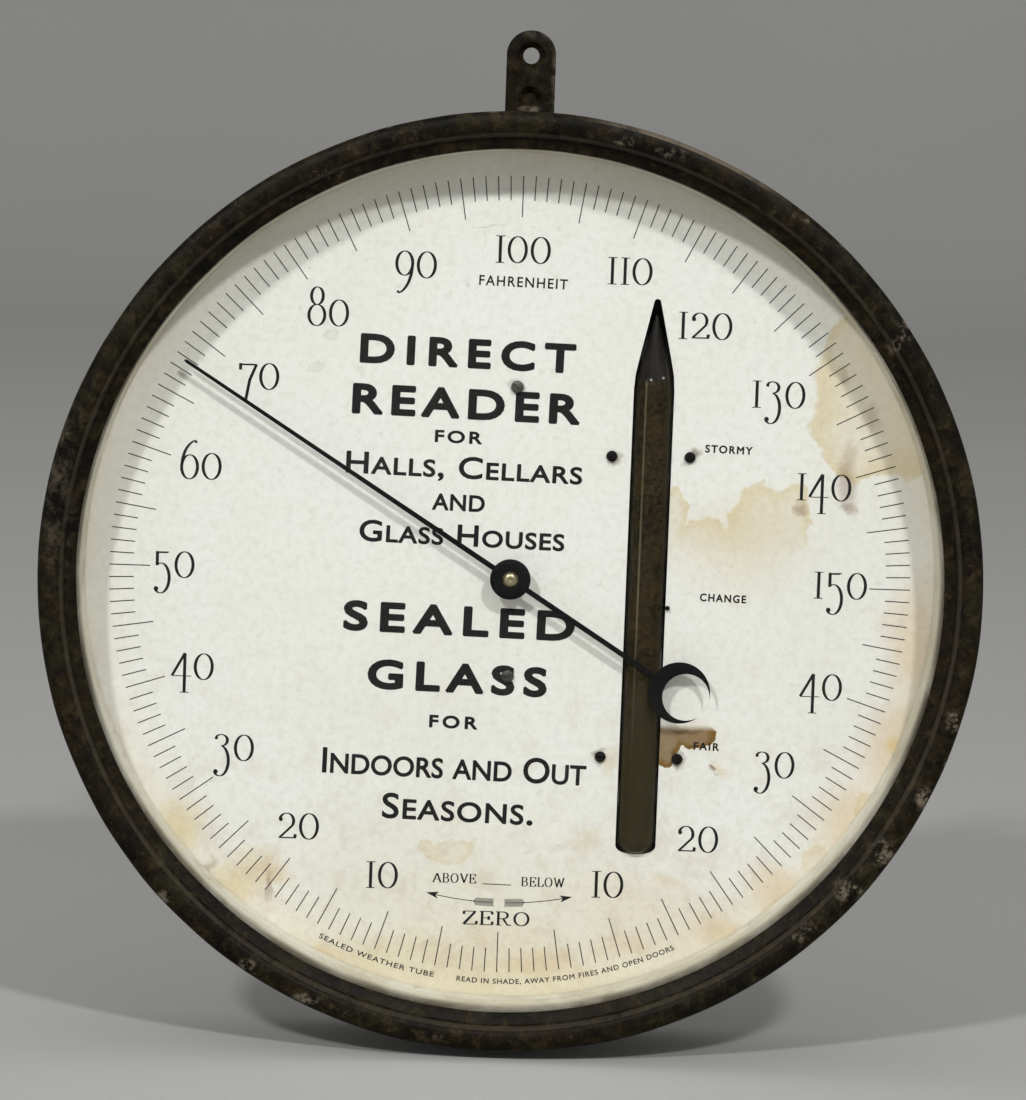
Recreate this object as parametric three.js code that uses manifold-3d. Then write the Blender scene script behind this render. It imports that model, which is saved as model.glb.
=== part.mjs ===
// Wall thermometer: a brass drum with a paper dial, a storm-glass tube let into the dial,
// and a pointer turned by a bimetal strip through a link, a toothed sector and a pinion.
// Millimetres. +Z is up, the dial faces -Y, the wall is the plane y = 0, and the origin
// is the middle of the case's back, on the dial's axis.
import * as THREE from 'three';
import { mergeVertices } from 'three/addons/utils/BufferGeometryUtils.js';
import Module from 'manifold-3d';

const wasm = await Module();
wasm.setup();

// ---------------------------------------------------------------- driving dimensions

const GAP = 0.3;                      // between neighbours that touch
const CUT = 1;                        // how far a cutting tool runs past what it cuts
const ROUND = 48;                     // sides on the large turned pieces
const SMALL_ROUND = 12;               // sides on screws, pins and arbors

const CASE = {
  backR: 104, frontR: 108.5, wall: 1, corner: 3,
  ledgeY: -25.5, ledgeThick: 0.9, rimY: -40,
  ventR: 3.2, ventCircleR: 60, vents: 8,
};
const BEZEL = {
  openR: 101.6, crestR: 104.4, crestY: -48, lipR: 111.4, lipY: -42, skirtR: 110.4, skirtY: -24,
};
const GLASS = { r: 106, front: -43.7, thick: 2 };
const SIGHT = { inR: 101.4, wall: 0.9 };
const DIAL = { plateR: 106.9, paperR: 106.5, plateThick: 1, paperThick: 0.25, centreHoleR: 4 };
const LEDGE_FRONT_Y = CASE.ledgeY - CASE.ledgeThick;
const PLATE_BACK_Y = LEDGE_FRONT_Y - GAP;
const PLATE_FRONT_Y = PLATE_BACK_Y - DIAL.plateThick;
const PAPER_BACK_Y = PLATE_FRONT_Y - GAP;
const PAPER_FRONT_Y = PAPER_BACK_Y - DIAL.paperThick;

const TUBE = {
  x: 32.5, y: -26.8, r: 4.9, wall: 1, bottomZ: -65.9, shoulderZ: 48.3, tipZ: 66.9,
  tipR: 0.95, holeR: 0.4, dome: 2.2,
};
const TUBE_SCREW = { dx: 9.3, zs: [29.3, -42.3], headR: 1.2, headThick: 0.8, shankR: 0.6 };
const STRAP = { long: 7, thick: 0.9, halfSpan: 12 };
const TUBE_PIN = { x: 38.6, z: -6.2, r: 0.45, proud: 1.2 };
const DIAL_SCREW = { x: 0.2, zs: [45.2, -23.6], headR: 1.5, headThick: 0.9, shankR: 0.8 };

const TAB = {
  x: 1.2, halfWidth: 5.9, thick: 1.9, backY: -1.3, bottomZ: 84,
  hangZ: 123.1, hangR: 1.95, hangSinkR: 3.3, lowZ: 112.2, lowR: 1.6, lowSinkR: 2.8,
  rivetZs: [88.5, 96.5], rivetR: 1.3, rivetHeadR: 2.6, rivetHeadThick: 1,
};
const TAB_TOP_Z = TAB.hangZ + 6.1;

const MOVEMENT = {
  halfWidth: 18, topZ: 52, bottomZ: -34, cornerR: 4, plateThick: 1.5, backY: -5,
  pillarX: 14, pillarZs: [47.5, -29], pillarR: 2.2,
  screwHeadR: 1.9, screwHeadThick: 1, screwShankR: 0.7, screwLong: 5,
  footR: 7, footStart: [-8, -24],
};
const FRONT_PLATE_BACK_Y = PLATE_BACK_Y + GAP + MOVEMENT.plateThick;
const BACK_PLATE_FRONT_Y = MOVEMENT.backY - MOVEMENT.plateThick;
const ARBOR = { r: 1, bearingR: 1.6, boreR: 1.3 };

const GEAR = { module: 0.6, pinionTeeth: 12, sectorCircleTeeth: 96, addendum: 0.45, dedendum: 0.78 };
const PINION = { frontY: -20.5, backY: -13 };
const PINION_R = GEAR.module * GEAR.pinionTeeth / 2;
const SECTOR_R = GEAR.module * GEAR.sectorCircleTeeth / 2;
const SECTOR = {
  z: PINION_R + SECTOR_R, frontY: -17.5, thick: 1.5, tailR: 9,
  coldDeg: 24.3, hotDeg: -18.6, marginDeg: 4,
  hubR: 4, hubProud: 1.5, tailHubR: 3,
  windowCorners: [[1.6, -7], [2.2, -24], [7.4, -22.6], [2.6, -7]],
};

const POINTER = {
  restDeg: -57.8, frontY: -33, thick: 0.6, tipZ: 94, tipHalf: 0.42, hubHalf: 0.68,
  eyeR: 4, bossR: 5, bossThick: 1, boreR: 2.05, colletR: 1.75,
  moonZ: -49, moonR: 7.5, moonCutR: 5.7, moonCutShift: 2.6,
};

const STRIP = { midR: 77.95, thick: 0.8, frontY: -18.5, backY: -9, pinR: 71.3, endDeg: 3.6 };
const CLIP = { thick: 1.2, halfDeg: 3, earR: 2.6, earThick: 1.4, linkGap: 1, lap: 0.5 };
const ANCHOR = { angleDeg: 247.4, postR: 5, baseThick: 1.4, slot: 3.5 };
const FREE_END_DEG = 145.7;
const LINK = {
  frontY: -14.6, thick: 1.2, halfWidth: 0.8, eyeR: 2.9, pinR: 0.6, looseHoleR: 1.6, tightHoleR: 1.2,
  pinHeadR: 1.3, pinHeadThick: 0.6,
};
const ANCHOR_SCREW = { headR: 2.8, headThick: 1.2, shankR: 1.2, holeR: 1.5, long: 3.3 };
const SPRING = {
  innerR: 2.5, outerR: 7.4, turns: 3, stepsPerTurn: 18, halfThick: 0.13, frontY: -11.6, backY: -10.4,
  colletR: 2.05, studR: 0.9,
};

// ---------------------------------------------------------------- materials

const finish = (color, roughness, metalness, extra = {}) => new THREE.MeshStandardMaterial({
  color, roughness, metalness, ...extra,
});
const brass = finish(0xb08d4c, 0.4, 0.9);
const darkBrass = finish(0x2d261e, 0.55, 0.7);
const steel = finish(0x8a8c8e, 0.4, 0.9);
const bluedSteel = finish(0x16161a, 0.4, 0.6);
const paper = finish(0xe8e7df, 0.9, 0);
const creamCard = finish(0xd9d5c4, 0.8, 0);
const clearGlass = finish(0xe8f0f0, 0.05, 0, { transparent: true, opacity: 0.3 });
const liquid = finish(0x2c2616, 0.2, 0);

// ---------------------------------------------------------------- helpers

const thermometer = new THREE.Group();
const radians = THREE.MathUtils.degToRad;

function add(name, geometry, material) {
  const mesh = new THREE.Mesh(geometry, material);
  mesh.name = name;
  thermometer.add(mesh);
  return mesh;
}

function solidOf(geometry) {
  const bare = geometry.clone();
  bare.deleteAttribute('normal');
  bare.deleteAttribute('uv');
  const merged = mergeVertices(bare, 1e-4);
  return new wasm.Manifold(new wasm.Mesh({
    numProp: 3,
    vertProperties: Float32Array.from(merged.attributes.position.array),
    triVerts: Uint32Array.from(merged.index.array),
  }));
}

function geometryOf(solid) {
  const { vertProperties, triVerts } = solid.getMesh();
  const geometry = new THREE.BufferGeometry();
  geometry.setAttribute('position', new THREE.BufferAttribute(new Float32Array(vertProperties), 3));
  geometry.setIndex(new THREE.BufferAttribute(new Uint32Array(triVerts), 1));
  geometry.computeVertexNormals();
  return geometry;
}

function cut(geometry, tools) {
  const solid = tools.reduce((left, tool) => left.subtract(solidOf(tool)), solidOf(geometry));
  return geometryOf(solid);
}

function join(geometries) {
  return geometryOf(geometries.map(solidOf).reduce((all, next) => all.add(next)));
}

// A solid turned about the Y axis. The profile is a list of [radius, y].
function turned(profile, sides = ROUND) {
  let points = profile.map(([r, y]) => new THREE.Vector2(r, y));
  if (THREE.ShapeUtils.area(points) < 0) points = points.reverse();
  if (profile[0][0] > 0) points.push(points[0].clone());
  return new THREE.LatheGeometry(points, sides);
}

function rod(r, frontY, backY, x = 0, z = 0, sides = SMALL_ROUND) {
  return new THREE.CylinderGeometry(r, r, backY - frontY, sides).translate(x, (frontY + backY) / 2, z);
}

// The outline's points without the doubled ones where an arc meets its neighbour.
function tidyPoints(points) {
  return points.filter((point, i) => point.distanceTo(points[(i + 1) % points.length]) > 1e-3);
}

function extruded(shape, depth, curveSegments) {
  const { shape: outline, holes } = shape.extractPoints(curveSegments);
  const tidy = new THREE.Shape(tidyPoints(outline));
  tidy.holes = holes.map((hole) => new THREE.Path(tidyPoints(hole)));
  return new THREE.ExtrudeGeometry(tidy, { depth, bevelEnabled: false });
}

// A flat piece cut to a shape drawn in x and z, between two y planes.
function flat(shape, frontY, backY, curveSegments = 12) {
  return extruded(shape, backY - frontY, curveSegments).rotateX(Math.PI / 2).translate(0, backY, 0);
}

function disc(x, z, r) {
  return new THREE.Shape().absarc(x, z, r, 0, 2 * Math.PI, false);
}

function roundedPlate(halfWidth, bottomZ, topZ, r) {
  const shape = new THREE.Shape();
  shape.absarc(halfWidth - r, topZ - r, r, 0, Math.PI / 2);
  shape.absarc(r - halfWidth, topZ - r, r, Math.PI / 2, Math.PI);
  shape.absarc(r - halfWidth, bottomZ + r, r, Math.PI, 1.5 * Math.PI);
  shape.absarc(halfWidth - r, bottomZ + r, r, 1.5 * Math.PI, 2 * Math.PI);
  return shape;
}

// A bar with round ends from one point to another, both [x, z].
function capsule([x0, z0], [x1, z1], r) {
  const along = Math.atan2(z1 - z0, x1 - x0);
  const shape = new THREE.Shape();
  shape.absarc(x1, z1, r, along - Math.PI / 2, along + Math.PI / 2);
  shape.absarc(x0, z0, r, along + Math.PI / 2, along + 1.5 * Math.PI);
  return shape;
}

// Part of a ring in x and z, between two radii and two angles.
function ringPart(inR, outR, startDeg, endDeg, centre = [0, 0]) {
  const [start, end] = [radians(startDeg), radians(endDeg)];
  const shape = new THREE.Shape();
  shape.absarc(centre[0], centre[1], outR, start, end, false);
  shape.absarc(centre[0], centre[1], inR, end, start, true);
  return shape;
}

const polar = (r, deg) => [r * Math.cos(radians(deg)), r * Math.sin(radians(deg))];

// A slotted screw whose head's front face is at headY and whose shank ends at endY.
function screw({ headR, headThick, shankR }, headY, endY, x, z, slotDeg) {
  const body = turned([[0, headY], [headR * 0.86, headY], [headR, headY + 0.2],
    [headR, headY + headThick], [shankR, headY + headThick], [shankR, endY], [0, endY]], SMALL_ROUND);
  const slot = new THREE.BoxGeometry(headR * 2.4, headThick, headR * 0.32);
  slot.rotateY(radians(slotDeg)).translate(0, headY, 0);
  return cut(body, [slot]).translate(x, 0, z);
}

// ---------------------------------------------------------------- case, bezel and glass

function makeCase() {
  const { backR, frontR, wall, corner, ledgeY, rimY, ventR } = CASE;
  const pan = turned([
    [0, 0], [backR - corner, 0], [backR - 0.9, -0.9], [backR, -corner], [backR, ledgeY],
    [frontR, ledgeY], [frontR, rimY], [frontR - wall, rimY], [frontR - wall, LEDGE_FRONT_Y],
    [backR - wall, LEDGE_FRONT_Y], [backR - wall, -corner], [backR - wall - 0.6, -corner + 1.4],
    [backR - corner, -wall], [0, -wall],
  ]);
  const holes = [];
  for (let i = 0; i < CASE.vents; i += 1) {
    const [x, z] = polar(CASE.ventCircleR, (i + 0.5) * 360 / CASE.vents);
    holes.push(rod(ventR, -wall - CUT, CUT, x, z));
  }
  for (const z of TAB.rivetZs) holes.push(rod(TAB.rivetR + GAP, -wall - CUT, CUT, TAB.x, z));
  const slotThick = TAB.thick + 2 * GAP;
  const slotHigh = 10 * wall;
  holes.push(new THREE.BoxGeometry(2 * (TAB.halfWidth + GAP), slotThick, slotHigh)
    .translate(TAB.x, TAB.backY - TAB.thick / 2, backR));
  add('back_case', cut(pan, holes), darkBrass);
}

function makeBezel() {
  const { openR, crestR, crestY, lipR, lipY, skirtR, skirtY } = BEZEL;
  const seatY = GLASS.front - GAP;
  const pocketR = GLASS.r + 0.9;
  const skirtInR = CASE.frontR + 0.4;
  const shoulderY = CASE.rimY - 0.9;
  add('bezel', turned([
    [openR, seatY], [openR, seatY - 0.9], [crestR - 0.9, crestY + 0.5], [crestR, crestY],
    [crestR + 1.4, crestY + 0.2], [crestR + 3.6, crestY + 1.2], [lipR - 1.9, lipY - 3.2],
    [lipR - 0.5, lipY - 1.6], [lipR, lipY - 0.6], [lipR - 0.2, lipY + 0.6], [skirtR, lipY + 1.4],
    [skirtR, skirtY], [skirtInR, skirtY], [skirtInR, shoulderY], [pocketR, shoulderY],
    [pocketR, seatY],
  ]), darkBrass);
}

function makeGlazing() {
  const glassBack = GLASS.front + GLASS.thick;
  add('glass', turned([[0, GLASS.front], [GLASS.r - 0.3, GLASS.front], [GLASS.r, GLASS.front + 0.3],
    [GLASS.r, glassBack], [0, glassBack]]), clearGlass);
  const ringFront = glassBack + GAP;
  const sightOutR = SIGHT.inR + SIGHT.wall;
  add('glass_ring', turned([[sightOutR + GAP, ringFront], [GLASS.r + 0.5, ringFront],
    [GLASS.r + 0.5, ringFront + 1.2], [sightOutR + GAP, ringFront + 1.2]]), brass);
  add('sight_ring', turned([[SIGHT.inR, ringFront], [sightOutR, ringFront],
    [sightOutR, PAPER_FRONT_Y - GAP], [SIGHT.inR, PAPER_FRONT_Y - GAP]]), creamCard);
}

// ---------------------------------------------------------------- dial

// The tools that cut a dial disc: the pencil-shaped window for the tube and every fixing hole.
function dialCuts() {
  const half = TUBE.r + GAP;
  const [left, right] = [TUBE.x - half, TUBE.x + half];
  const [shoulderZ, domeZ] = [TUBE.shoulderZ + 0.4, TUBE.bottomZ + TUBE.dome];
  const roundZ = TUBE.bottomZ - 4 * GAP;                      // pulls the round end below the tube's
  const window = new THREE.Shape();
  window.moveTo(left, domeZ);
  window.bezierCurveTo(left, roundZ, right, roundZ, right, domeZ);
  window.lineTo(right, shoulderZ);
  window.lineTo(TUBE.x + TUBE.tipR + GAP, TUBE.tipZ + GAP);
  window.lineTo(TUBE.x - TUBE.tipR - GAP, TUBE.tipZ + GAP);
  window.lineTo(left, shoulderZ);
  const [front, back] = [PAPER_FRONT_Y - CUT, PLATE_BACK_Y + CUT];
  const hole = (r, x, z) => rod(r + GAP, front, back, x, z, 10);
  const tubeScrews = TUBE_SCREW.zs.flatMap((z) => [-1, 1]
    .map((side) => hole(TUBE_SCREW.shankR, TUBE.x + side * TUBE_SCREW.dx, z)));
  return [
    flat(window, front, back, 8), rod(DIAL.centreHoleR, front, back, 0, 0, 20),
    ...DIAL_SCREW.zs.map((z) => hole(DIAL_SCREW.shankR, DIAL_SCREW.x, z)), ...tubeScrews,
    hole(TUBE_PIN.r, TUBE_PIN.x, TUBE_PIN.z),
  ];
}

function makeDial() {
  const plate = rod(DIAL.plateR, PLATE_FRONT_Y, PLATE_BACK_Y, 0, 0, ROUND);
  const sheet = rod(DIAL.paperR, PAPER_FRONT_Y, PAPER_BACK_Y, 0, 0, ROUND);
  add('dial_plate', cut(plate, dialCuts()), brass);
  add('dial_paper', cut(sheet, dialCuts()), paper);
  const headY = PAPER_FRONT_Y - GAP - DIAL_SCREW.headThick;
  DIAL_SCREW.zs.forEach((z, i) => add(['dial_screw_upper', 'dial_screw_lower'][i],
    screw(DIAL_SCREW, headY, FRONT_PLATE_BACK_Y, DIAL_SCREW.x, z, 35 + 50 * i), steel));
}

// ---------------------------------------------------------------- storm glass

function makeStormGlass() {
  const { r, wall, bottomZ, shoulderZ, tipZ, tipR, holeR, dome } = TUBE;
  const inR = r - wall;
  const place = (geometry) => geometry.rotateX(Math.PI / 2).translate(TUBE.x, TUBE.y, 0);
  add('storm_tube', place(turned([
    [0, bottomZ], [r * 0.55, bottomZ + 0.35], [r * 0.87, bottomZ + dome * 0.5], [r, bottomZ + dome],
    [r, shoulderZ - 0.8], [r * 0.95, shoulderZ + 0.6], [tipR, tipZ - 0.4], [tipR * 0.75, tipZ],
    [holeR, tipZ], [inR * 0.93, shoulderZ + 0.2], [inR, shoulderZ - 1], [inR, bottomZ + dome + wall * 0.6],
    [inR * 0.6, bottomZ + wall * 1.6], [0, bottomZ + wall * 1.3],
  ], 20)), clearGlass);
  const liquidR = inR - GAP;
  add('storm_liquid', place(turned([
    [0, bottomZ + wall * 1.3 + GAP], [liquidR * 0.58, bottomZ + wall * 1.6 + GAP],
    [liquidR, bottomZ + dome + wall * 0.6 + GAP], [liquidR, shoulderZ - 1.2], [0, shoulderZ - 0.9],
  ], 16)), liquid);

  const earBack = PLATE_BACK_Y + GAP + STRAP.thick;
  const earFront = PLATE_BACK_Y + GAP;
  const [saddleIn, saddleOut] = [r + GAP, r + GAP + STRAP.thick];
  const names = ['upper', 'lower'];
  TUBE_SCREW.zs.forEach((z, i) => {
    const profile = new THREE.Shape();
    profile.moveTo(-STRAP.halfSpan, earFront);
    profile.lineTo(-saddleIn, earFront);
    profile.absarc(0, TUBE.y, saddleIn, Math.PI - 0.06, 0.06, true);
    profile.lineTo(saddleIn, earFront);
    profile.lineTo(STRAP.halfSpan, earFront);
    profile.lineTo(STRAP.halfSpan, earBack);
    profile.lineTo(saddleOut, earBack);
    profile.absarc(0, TUBE.y, saddleOut, 0.32, Math.PI - 0.32, false);
    profile.lineTo(-saddleOut, earBack);
    profile.lineTo(-STRAP.halfSpan, earBack);
    const strap = extruded(profile, STRAP.long, 7).translate(TUBE.x, 0, z - STRAP.long / 2);
    const holes = [-1, 1].map((side) => rod(TUBE_SCREW.shankR + GAP, earFront - CUT, earBack + CUT,
      TUBE.x + side * TUBE_SCREW.dx, z));
    add(`tube_strap_${names[i]}`, cut(strap, holes), brass);
    const headY = PAPER_FRONT_Y - GAP - TUBE_SCREW.headThick;
    for (const side of [-1, 1]) {
      add(`tube_screw_${names[i]}_${side < 0 ? 'left' : 'right'}`,
        screw(TUBE_SCREW, headY, earBack + 0.4, TUBE.x + side * TUBE_SCREW.dx, z, 30 + 40 * side + 25 * i),
        darkBrass);
    }
  });
  const { r: pinR, proud, x: pinX, z: pinZ } = TUBE_PIN;
  add('tube_pin', rod(pinR, PAPER_FRONT_Y - proud, PLATE_BACK_Y + GAP, pinX, pinZ, 10), brass);
}

// ---------------------------------------------------------------- hanger

function countersink(z, sinkR, r) {
  const frontY = TAB.backY - TAB.thick;
  return turned([[0, frontY - CUT], [sinkR + GAP, frontY - CUT], [sinkR, frontY],
    [r, frontY + TAB.thick * 0.6], [r, TAB.backY + CUT], [0, TAB.backY + CUT]], SMALL_ROUND)
    .translate(TAB.x, 0, z);
}

function makeHanger() {
  const frontY = TAB.backY - TAB.thick;
  const outline = new THREE.Shape();
  outline.moveTo(TAB.x - TAB.halfWidth, TAB.bottomZ);
  outline.lineTo(TAB.x + TAB.halfWidth, TAB.bottomZ);
  outline.absarc(TAB.x, TAB_TOP_Z - TAB.halfWidth, TAB.halfWidth, 0, Math.PI, false);
  const holes = TAB.rivetZs.map((z) => rod(TAB.rivetR + GAP, frontY - CUT, TAB.backY + CUT, TAB.x, z));
  holes.push(countersink(TAB.hangZ, TAB.hangSinkR, TAB.hangR), countersink(TAB.lowZ, TAB.lowSinkR, TAB.lowR));
  add('hanger_tab', cut(flat(outline, frontY, TAB.backY), holes), darkBrass);
  TAB.rivetZs.forEach((z, i) => {
    const headBack = frontY - GAP;
    const headFront = headBack - TAB.rivetHeadThick;
    add(`hanger_rivet_${i + 1}`, turned([[0, headFront], [TAB.rivetHeadR * 0.6, headFront],
      [TAB.rivetHeadR, headBack], [TAB.rivetR, headBack], [TAB.rivetR, -0.1], [0, -0.1]], SMALL_ROUND)
      .translate(TAB.x, 0, z), brass);
  });
}

// ---------------------------------------------------------------- movement frame

const anchorPoint = polar(STRIP.midR, ANCHOR.angleDeg);

function makeMovementFrame() {
  const { halfWidth, bottomZ, topZ, cornerR, pillarX, pillarZs, pillarR } = MOVEMENT;
  const { screwShankR, screwHeadR, screwHeadThick, screwLong } = MOVEMENT;
  const corners = pillarZs.flatMap((z) => [[-pillarX, z], [pillarX, z]]);
  const plate = roundedPlate(halfWidth, bottomZ, topZ, cornerR);
  const through = (r, x, z) => rod(r, PLATE_BACK_Y, 0, x, z);
  const bearings = [[0, 0], [0, SECTOR.z]].map(([x, z]) => through(ARBOR.bearingR, x, z));
  const screwHoles = corners.map(([x, z]) => through(screwShankR + GAP, x, z));
  const dialScrewHoles = DIAL_SCREW.zs.map((z) => through(DIAL_SCREW.shankR + GAP, DIAL_SCREW.x, z));
  const frontPlateFront = FRONT_PLATE_BACK_Y - MOVEMENT.plateThick;
  add('movement_front_plate', cut(flat(plate, frontPlateFront, FRONT_PLATE_BACK_Y, 4),
    [...bearings, ...dialScrewHoles]), brass);

  const foot = flat(capsule(MOVEMENT.footStart, anchorPoint, MOVEMENT.footR),
    BACK_PLATE_FRONT_Y, MOVEMENT.backY, 6);
  add('movement_back_plate', cut(join([flat(plate, BACK_PLATE_FRONT_Y, MOVEMENT.backY, 4), foot]),
    [...bearings, ...screwHoles, through(ANCHOR_SCREW.holeR, ...anchorPoint)]), brass);

  corners.forEach(([x, z], i) => {
    const name = `${i < 2 ? 'upper' : 'lower'}_${x < 0 ? 'left' : 'right'}`;
    const pillarFront = FRONT_PLATE_BACK_Y + GAP;
    const pillarBack = BACK_PLATE_FRONT_Y - GAP;
    const waist = (pillarBack - pillarFront) * 0.2;
    const waistR = pillarR * 0.75;
    const taper = pillarR - waistR + GAP;
    const tapped = rod(screwShankR + GAP, pillarBack - screwLong + CUT, pillarBack + CUT);
    add(`pillar_${name}`, cut(turned([[0, pillarFront], [pillarR, pillarFront],
      [pillarR, pillarFront + waist], [waistR, pillarFront + waist + taper],
      [waistR, pillarBack - waist - taper], [pillarR, pillarBack - waist], [pillarR, pillarBack],
      [0, pillarBack]], SMALL_ROUND), [tapped]).translate(x, 0, z), brass);
    // The back plate's screws are driven from behind, so their heads face the wall.
    const size = { headR: screwHeadR, headThick: screwHeadThick, shankR: screwShankR };
    add(`pillar_screw_${name}`, screw(size, 0, screwLong, 0, 0, 20 * i).rotateX(Math.PI)
      .translate(x, MOVEMENT.backY + GAP + screwHeadThick, z), steel);
  });
}

// ---------------------------------------------------------------- bimetal strip

function makeBimetal() {
  const { midR, thick, frontY, backY } = STRIP;
  const span = [ANCHOR.angleDeg - STRIP.endDeg, FREE_END_DEG - STRIP.endDeg + 360];
  const [brassOut, steelIn] = [midR - GAP / 2, midR + GAP / 2];
  const strip = (inR, outR) => flat(ringPart(inR, outR, ...span), frontY, backY, 24);
  add('bimetal_steel_strip', strip(steelIn, steelIn + thick), steel);
  add('bimetal_brass_strip', strip(brassOut - thick, brassOut), brass);

  const { thick: clipThick, halfDeg, earR, lap } = CLIP;
  const clipOut = brassOut - thick - GAP;
  const clipSpan = [FREE_END_DEG - halfDeg, FREE_END_DEG + halfDeg];
  const [pinX, pinZ] = polar(STRIP.pinR, FREE_END_DEG);
  const earFront = LINK.frontY + LINK.thick + CLIP.linkGap;
  add('free_end_clip', join([
    flat(ringPart(clipOut - clipThick, clipOut, ...clipSpan), frontY + lap, backY - lap, 3),
    flat(ringPart(STRIP.pinR - earR, clipOut - lap, ...clipSpan), earFront, earFront + CLIP.earThick, 3),
    rod(LINK.pinR, LINK.frontY - clipThick, earFront + lap, pinX, pinZ),
  ]), brass);

  const [x, z] = anchorPoint;
  const postBack = BACK_PLATE_FRONT_Y - GAP;
  const postFront = frontY - 1;
  const [slotFront, slotBack] = [postFront - CUT, postBack - ANCHOR.baseThick];
  const slot = new THREE.BoxGeometry(3 * ANCHOR.postR, slotBack - slotFront, ANCHOR.slot);
  slot.rotateY(-radians(ANCHOR.angleDeg + 90)).translate(0, (slotFront + slotBack) / 2, 0);
  add('anchor_post', cut(rod(ANCHOR.postR, postFront, postBack, 0, 0, 24),
    [slot, rod(ANCHOR_SCREW.holeR, postBack - CUT, postBack + CUT)]).translate(x, 0, z), brass);
  add('anchor_screw', screw(ANCHOR_SCREW, 0, ANCHOR_SCREW.long, 0, 0, 60)
    .rotateX(Math.PI).translate(x, MOVEMENT.backY + GAP + ANCHOR_SCREW.headThick, z), steel);
}

// ---------------------------------------------------------------- sector, link and pinion

// One tooth of a wheel's outline. Angles are measured from -Z towards +X.
function toothPoints(pitchR, angleDeg) {
  const pitchDeg = 360 * GEAR.module / (2 * pitchR);
  const rootR = pitchR - GEAR.dedendum;
  const tipR = pitchR + GEAR.addendum;
  const corner = (r, share) => {
    const a = radians(angleDeg + share * pitchDeg);
    return new THREE.Vector2(r * Math.sin(a), -r * Math.cos(a));
  };
  return [corner(rootR, -0.25), corner(tipR, -0.1), corner(tipR, 0.1), corner(rootR, 0.25)];
}

function makePinion() {
  const step = 360 / GEAR.pinionTeeth;
  const points = [];
  for (let i = 0; i < GEAR.pinionTeeth; i += 1) points.push(...toothPoints(PINION_R, i * step + 180));
  const shape = new THREE.Shape(points);
  shape.holes.push(new THREE.Path().absarc(0, 0, ARBOR.boreR, 0, 2 * Math.PI, true));
  add('pinion', flat(shape, PINION.frontY, PINION.backY, 4), steel);
}

// The tail's direction at rest: square to the link's travel at the middle of its stroke.
const freePin = polar(STRIP.pinR, FREE_END_DEG);
const strokeDir = Math.atan2(freePin[1] - anchorPoint[1], freePin[0] - anchorPoint[0]);
const tailDir = strokeDir + radians((SECTOR.coldDeg + SECTOR.hotDeg) / 2);
const tailPin = [SECTOR.tailR * Math.cos(tailDir), SECTOR.z + SECTOR.tailR * Math.sin(tailDir)];

function makeSector() {
  const step = 360 / GEAR.sectorCircleTeeth;
  const points = [];
  const first = Math.ceil((SECTOR.hotDeg - SECTOR.marginDeg) / step);
  const last = Math.floor((SECTOR.coldDeg + SECTOR.marginDeg) / step);
  for (let i = first; i <= last; i += 1) points.push(...toothPoints(SECTOR_R, (i + 0.5) * step));
  const { frontY, thick, hubR, hubProud, tailHubR, windowCorners } = SECTOR;
  const backY = frontY + thick;
  const rim = new THREE.Shape([...points, new THREE.Vector2(hubR, 1), new THREE.Vector2(-hubR, 1)]);
  const window = (sign) => {
    const corners = windowCorners.map(([x, z]) => new THREE.Vector2(sign * x, z));
    return flat(new THREE.Shape(corners), frontY - CUT, backY + CUT);
  };
  const tailEnd = [tailPin[0], tailPin[1] - SECTOR.z];
  const body = join([
    flat(rim, frontY, backY),
    flat(disc(0, 0, hubR), frontY - hubProud, backY + hubProud, 6),
    flat(capsule([0, 0], tailEnd, tailHubR), frontY, backY, 6),
  ]);
  const through = (r, x, z) => rod(r, FRONT_PLATE_BACK_Y, MOVEMENT.backY, x, z);
  const holes = [window(-1), window(1), through(ARBOR.boreR, 0, 0), through(LINK.pinR + GAP, ...tailEnd)];
  add('sector_gear', cut(body, holes).translate(0, 0, SECTOR.z), brass);
  add('sector_arbor', rod(ARBOR.r, FRONT_PLATE_BACK_Y - 1.1, MOVEMENT.backY - 0.4, 0, SECTOR.z), steel);
  const headBack = frontY - GAP;
  const headFront = headBack - LINK.pinHeadThick;
  const pinEnd = LINK.frontY + LINK.thick + 3 * GAP;
  add('link_pin', turned([[0, headFront], [LINK.pinHeadR, headFront], [LINK.pinHeadR, headBack],
    [LINK.pinR, headBack], [LINK.pinR, pinEnd], [0, pinEnd]], SMALL_ROUND)
    .translate(tailPin[0], 0, tailPin[1]), steel);
}

function makeLink() {
  const { frontY, thick, halfWidth, eyeR, tightHoleR, looseHoleR } = LINK;
  const backY = frontY + thick;
  const bar = flat(capsule(tailPin, freePin, halfWidth), frontY, backY, 4);
  const eyes = [tailPin, freePin].map(([x, z]) => flat(disc(x, z, eyeR), frontY, backY, 8));
  add('link', cut(join([bar, ...eyes]), [
    rod(tightHoleR, frontY - CUT, backY + CUT, ...tailPin),
    rod(looseHoleR, frontY - CUT, backY + CUT, ...freePin),
  ]), steel);
}

// ---------------------------------------------------------------- pointer and hairspring

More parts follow.
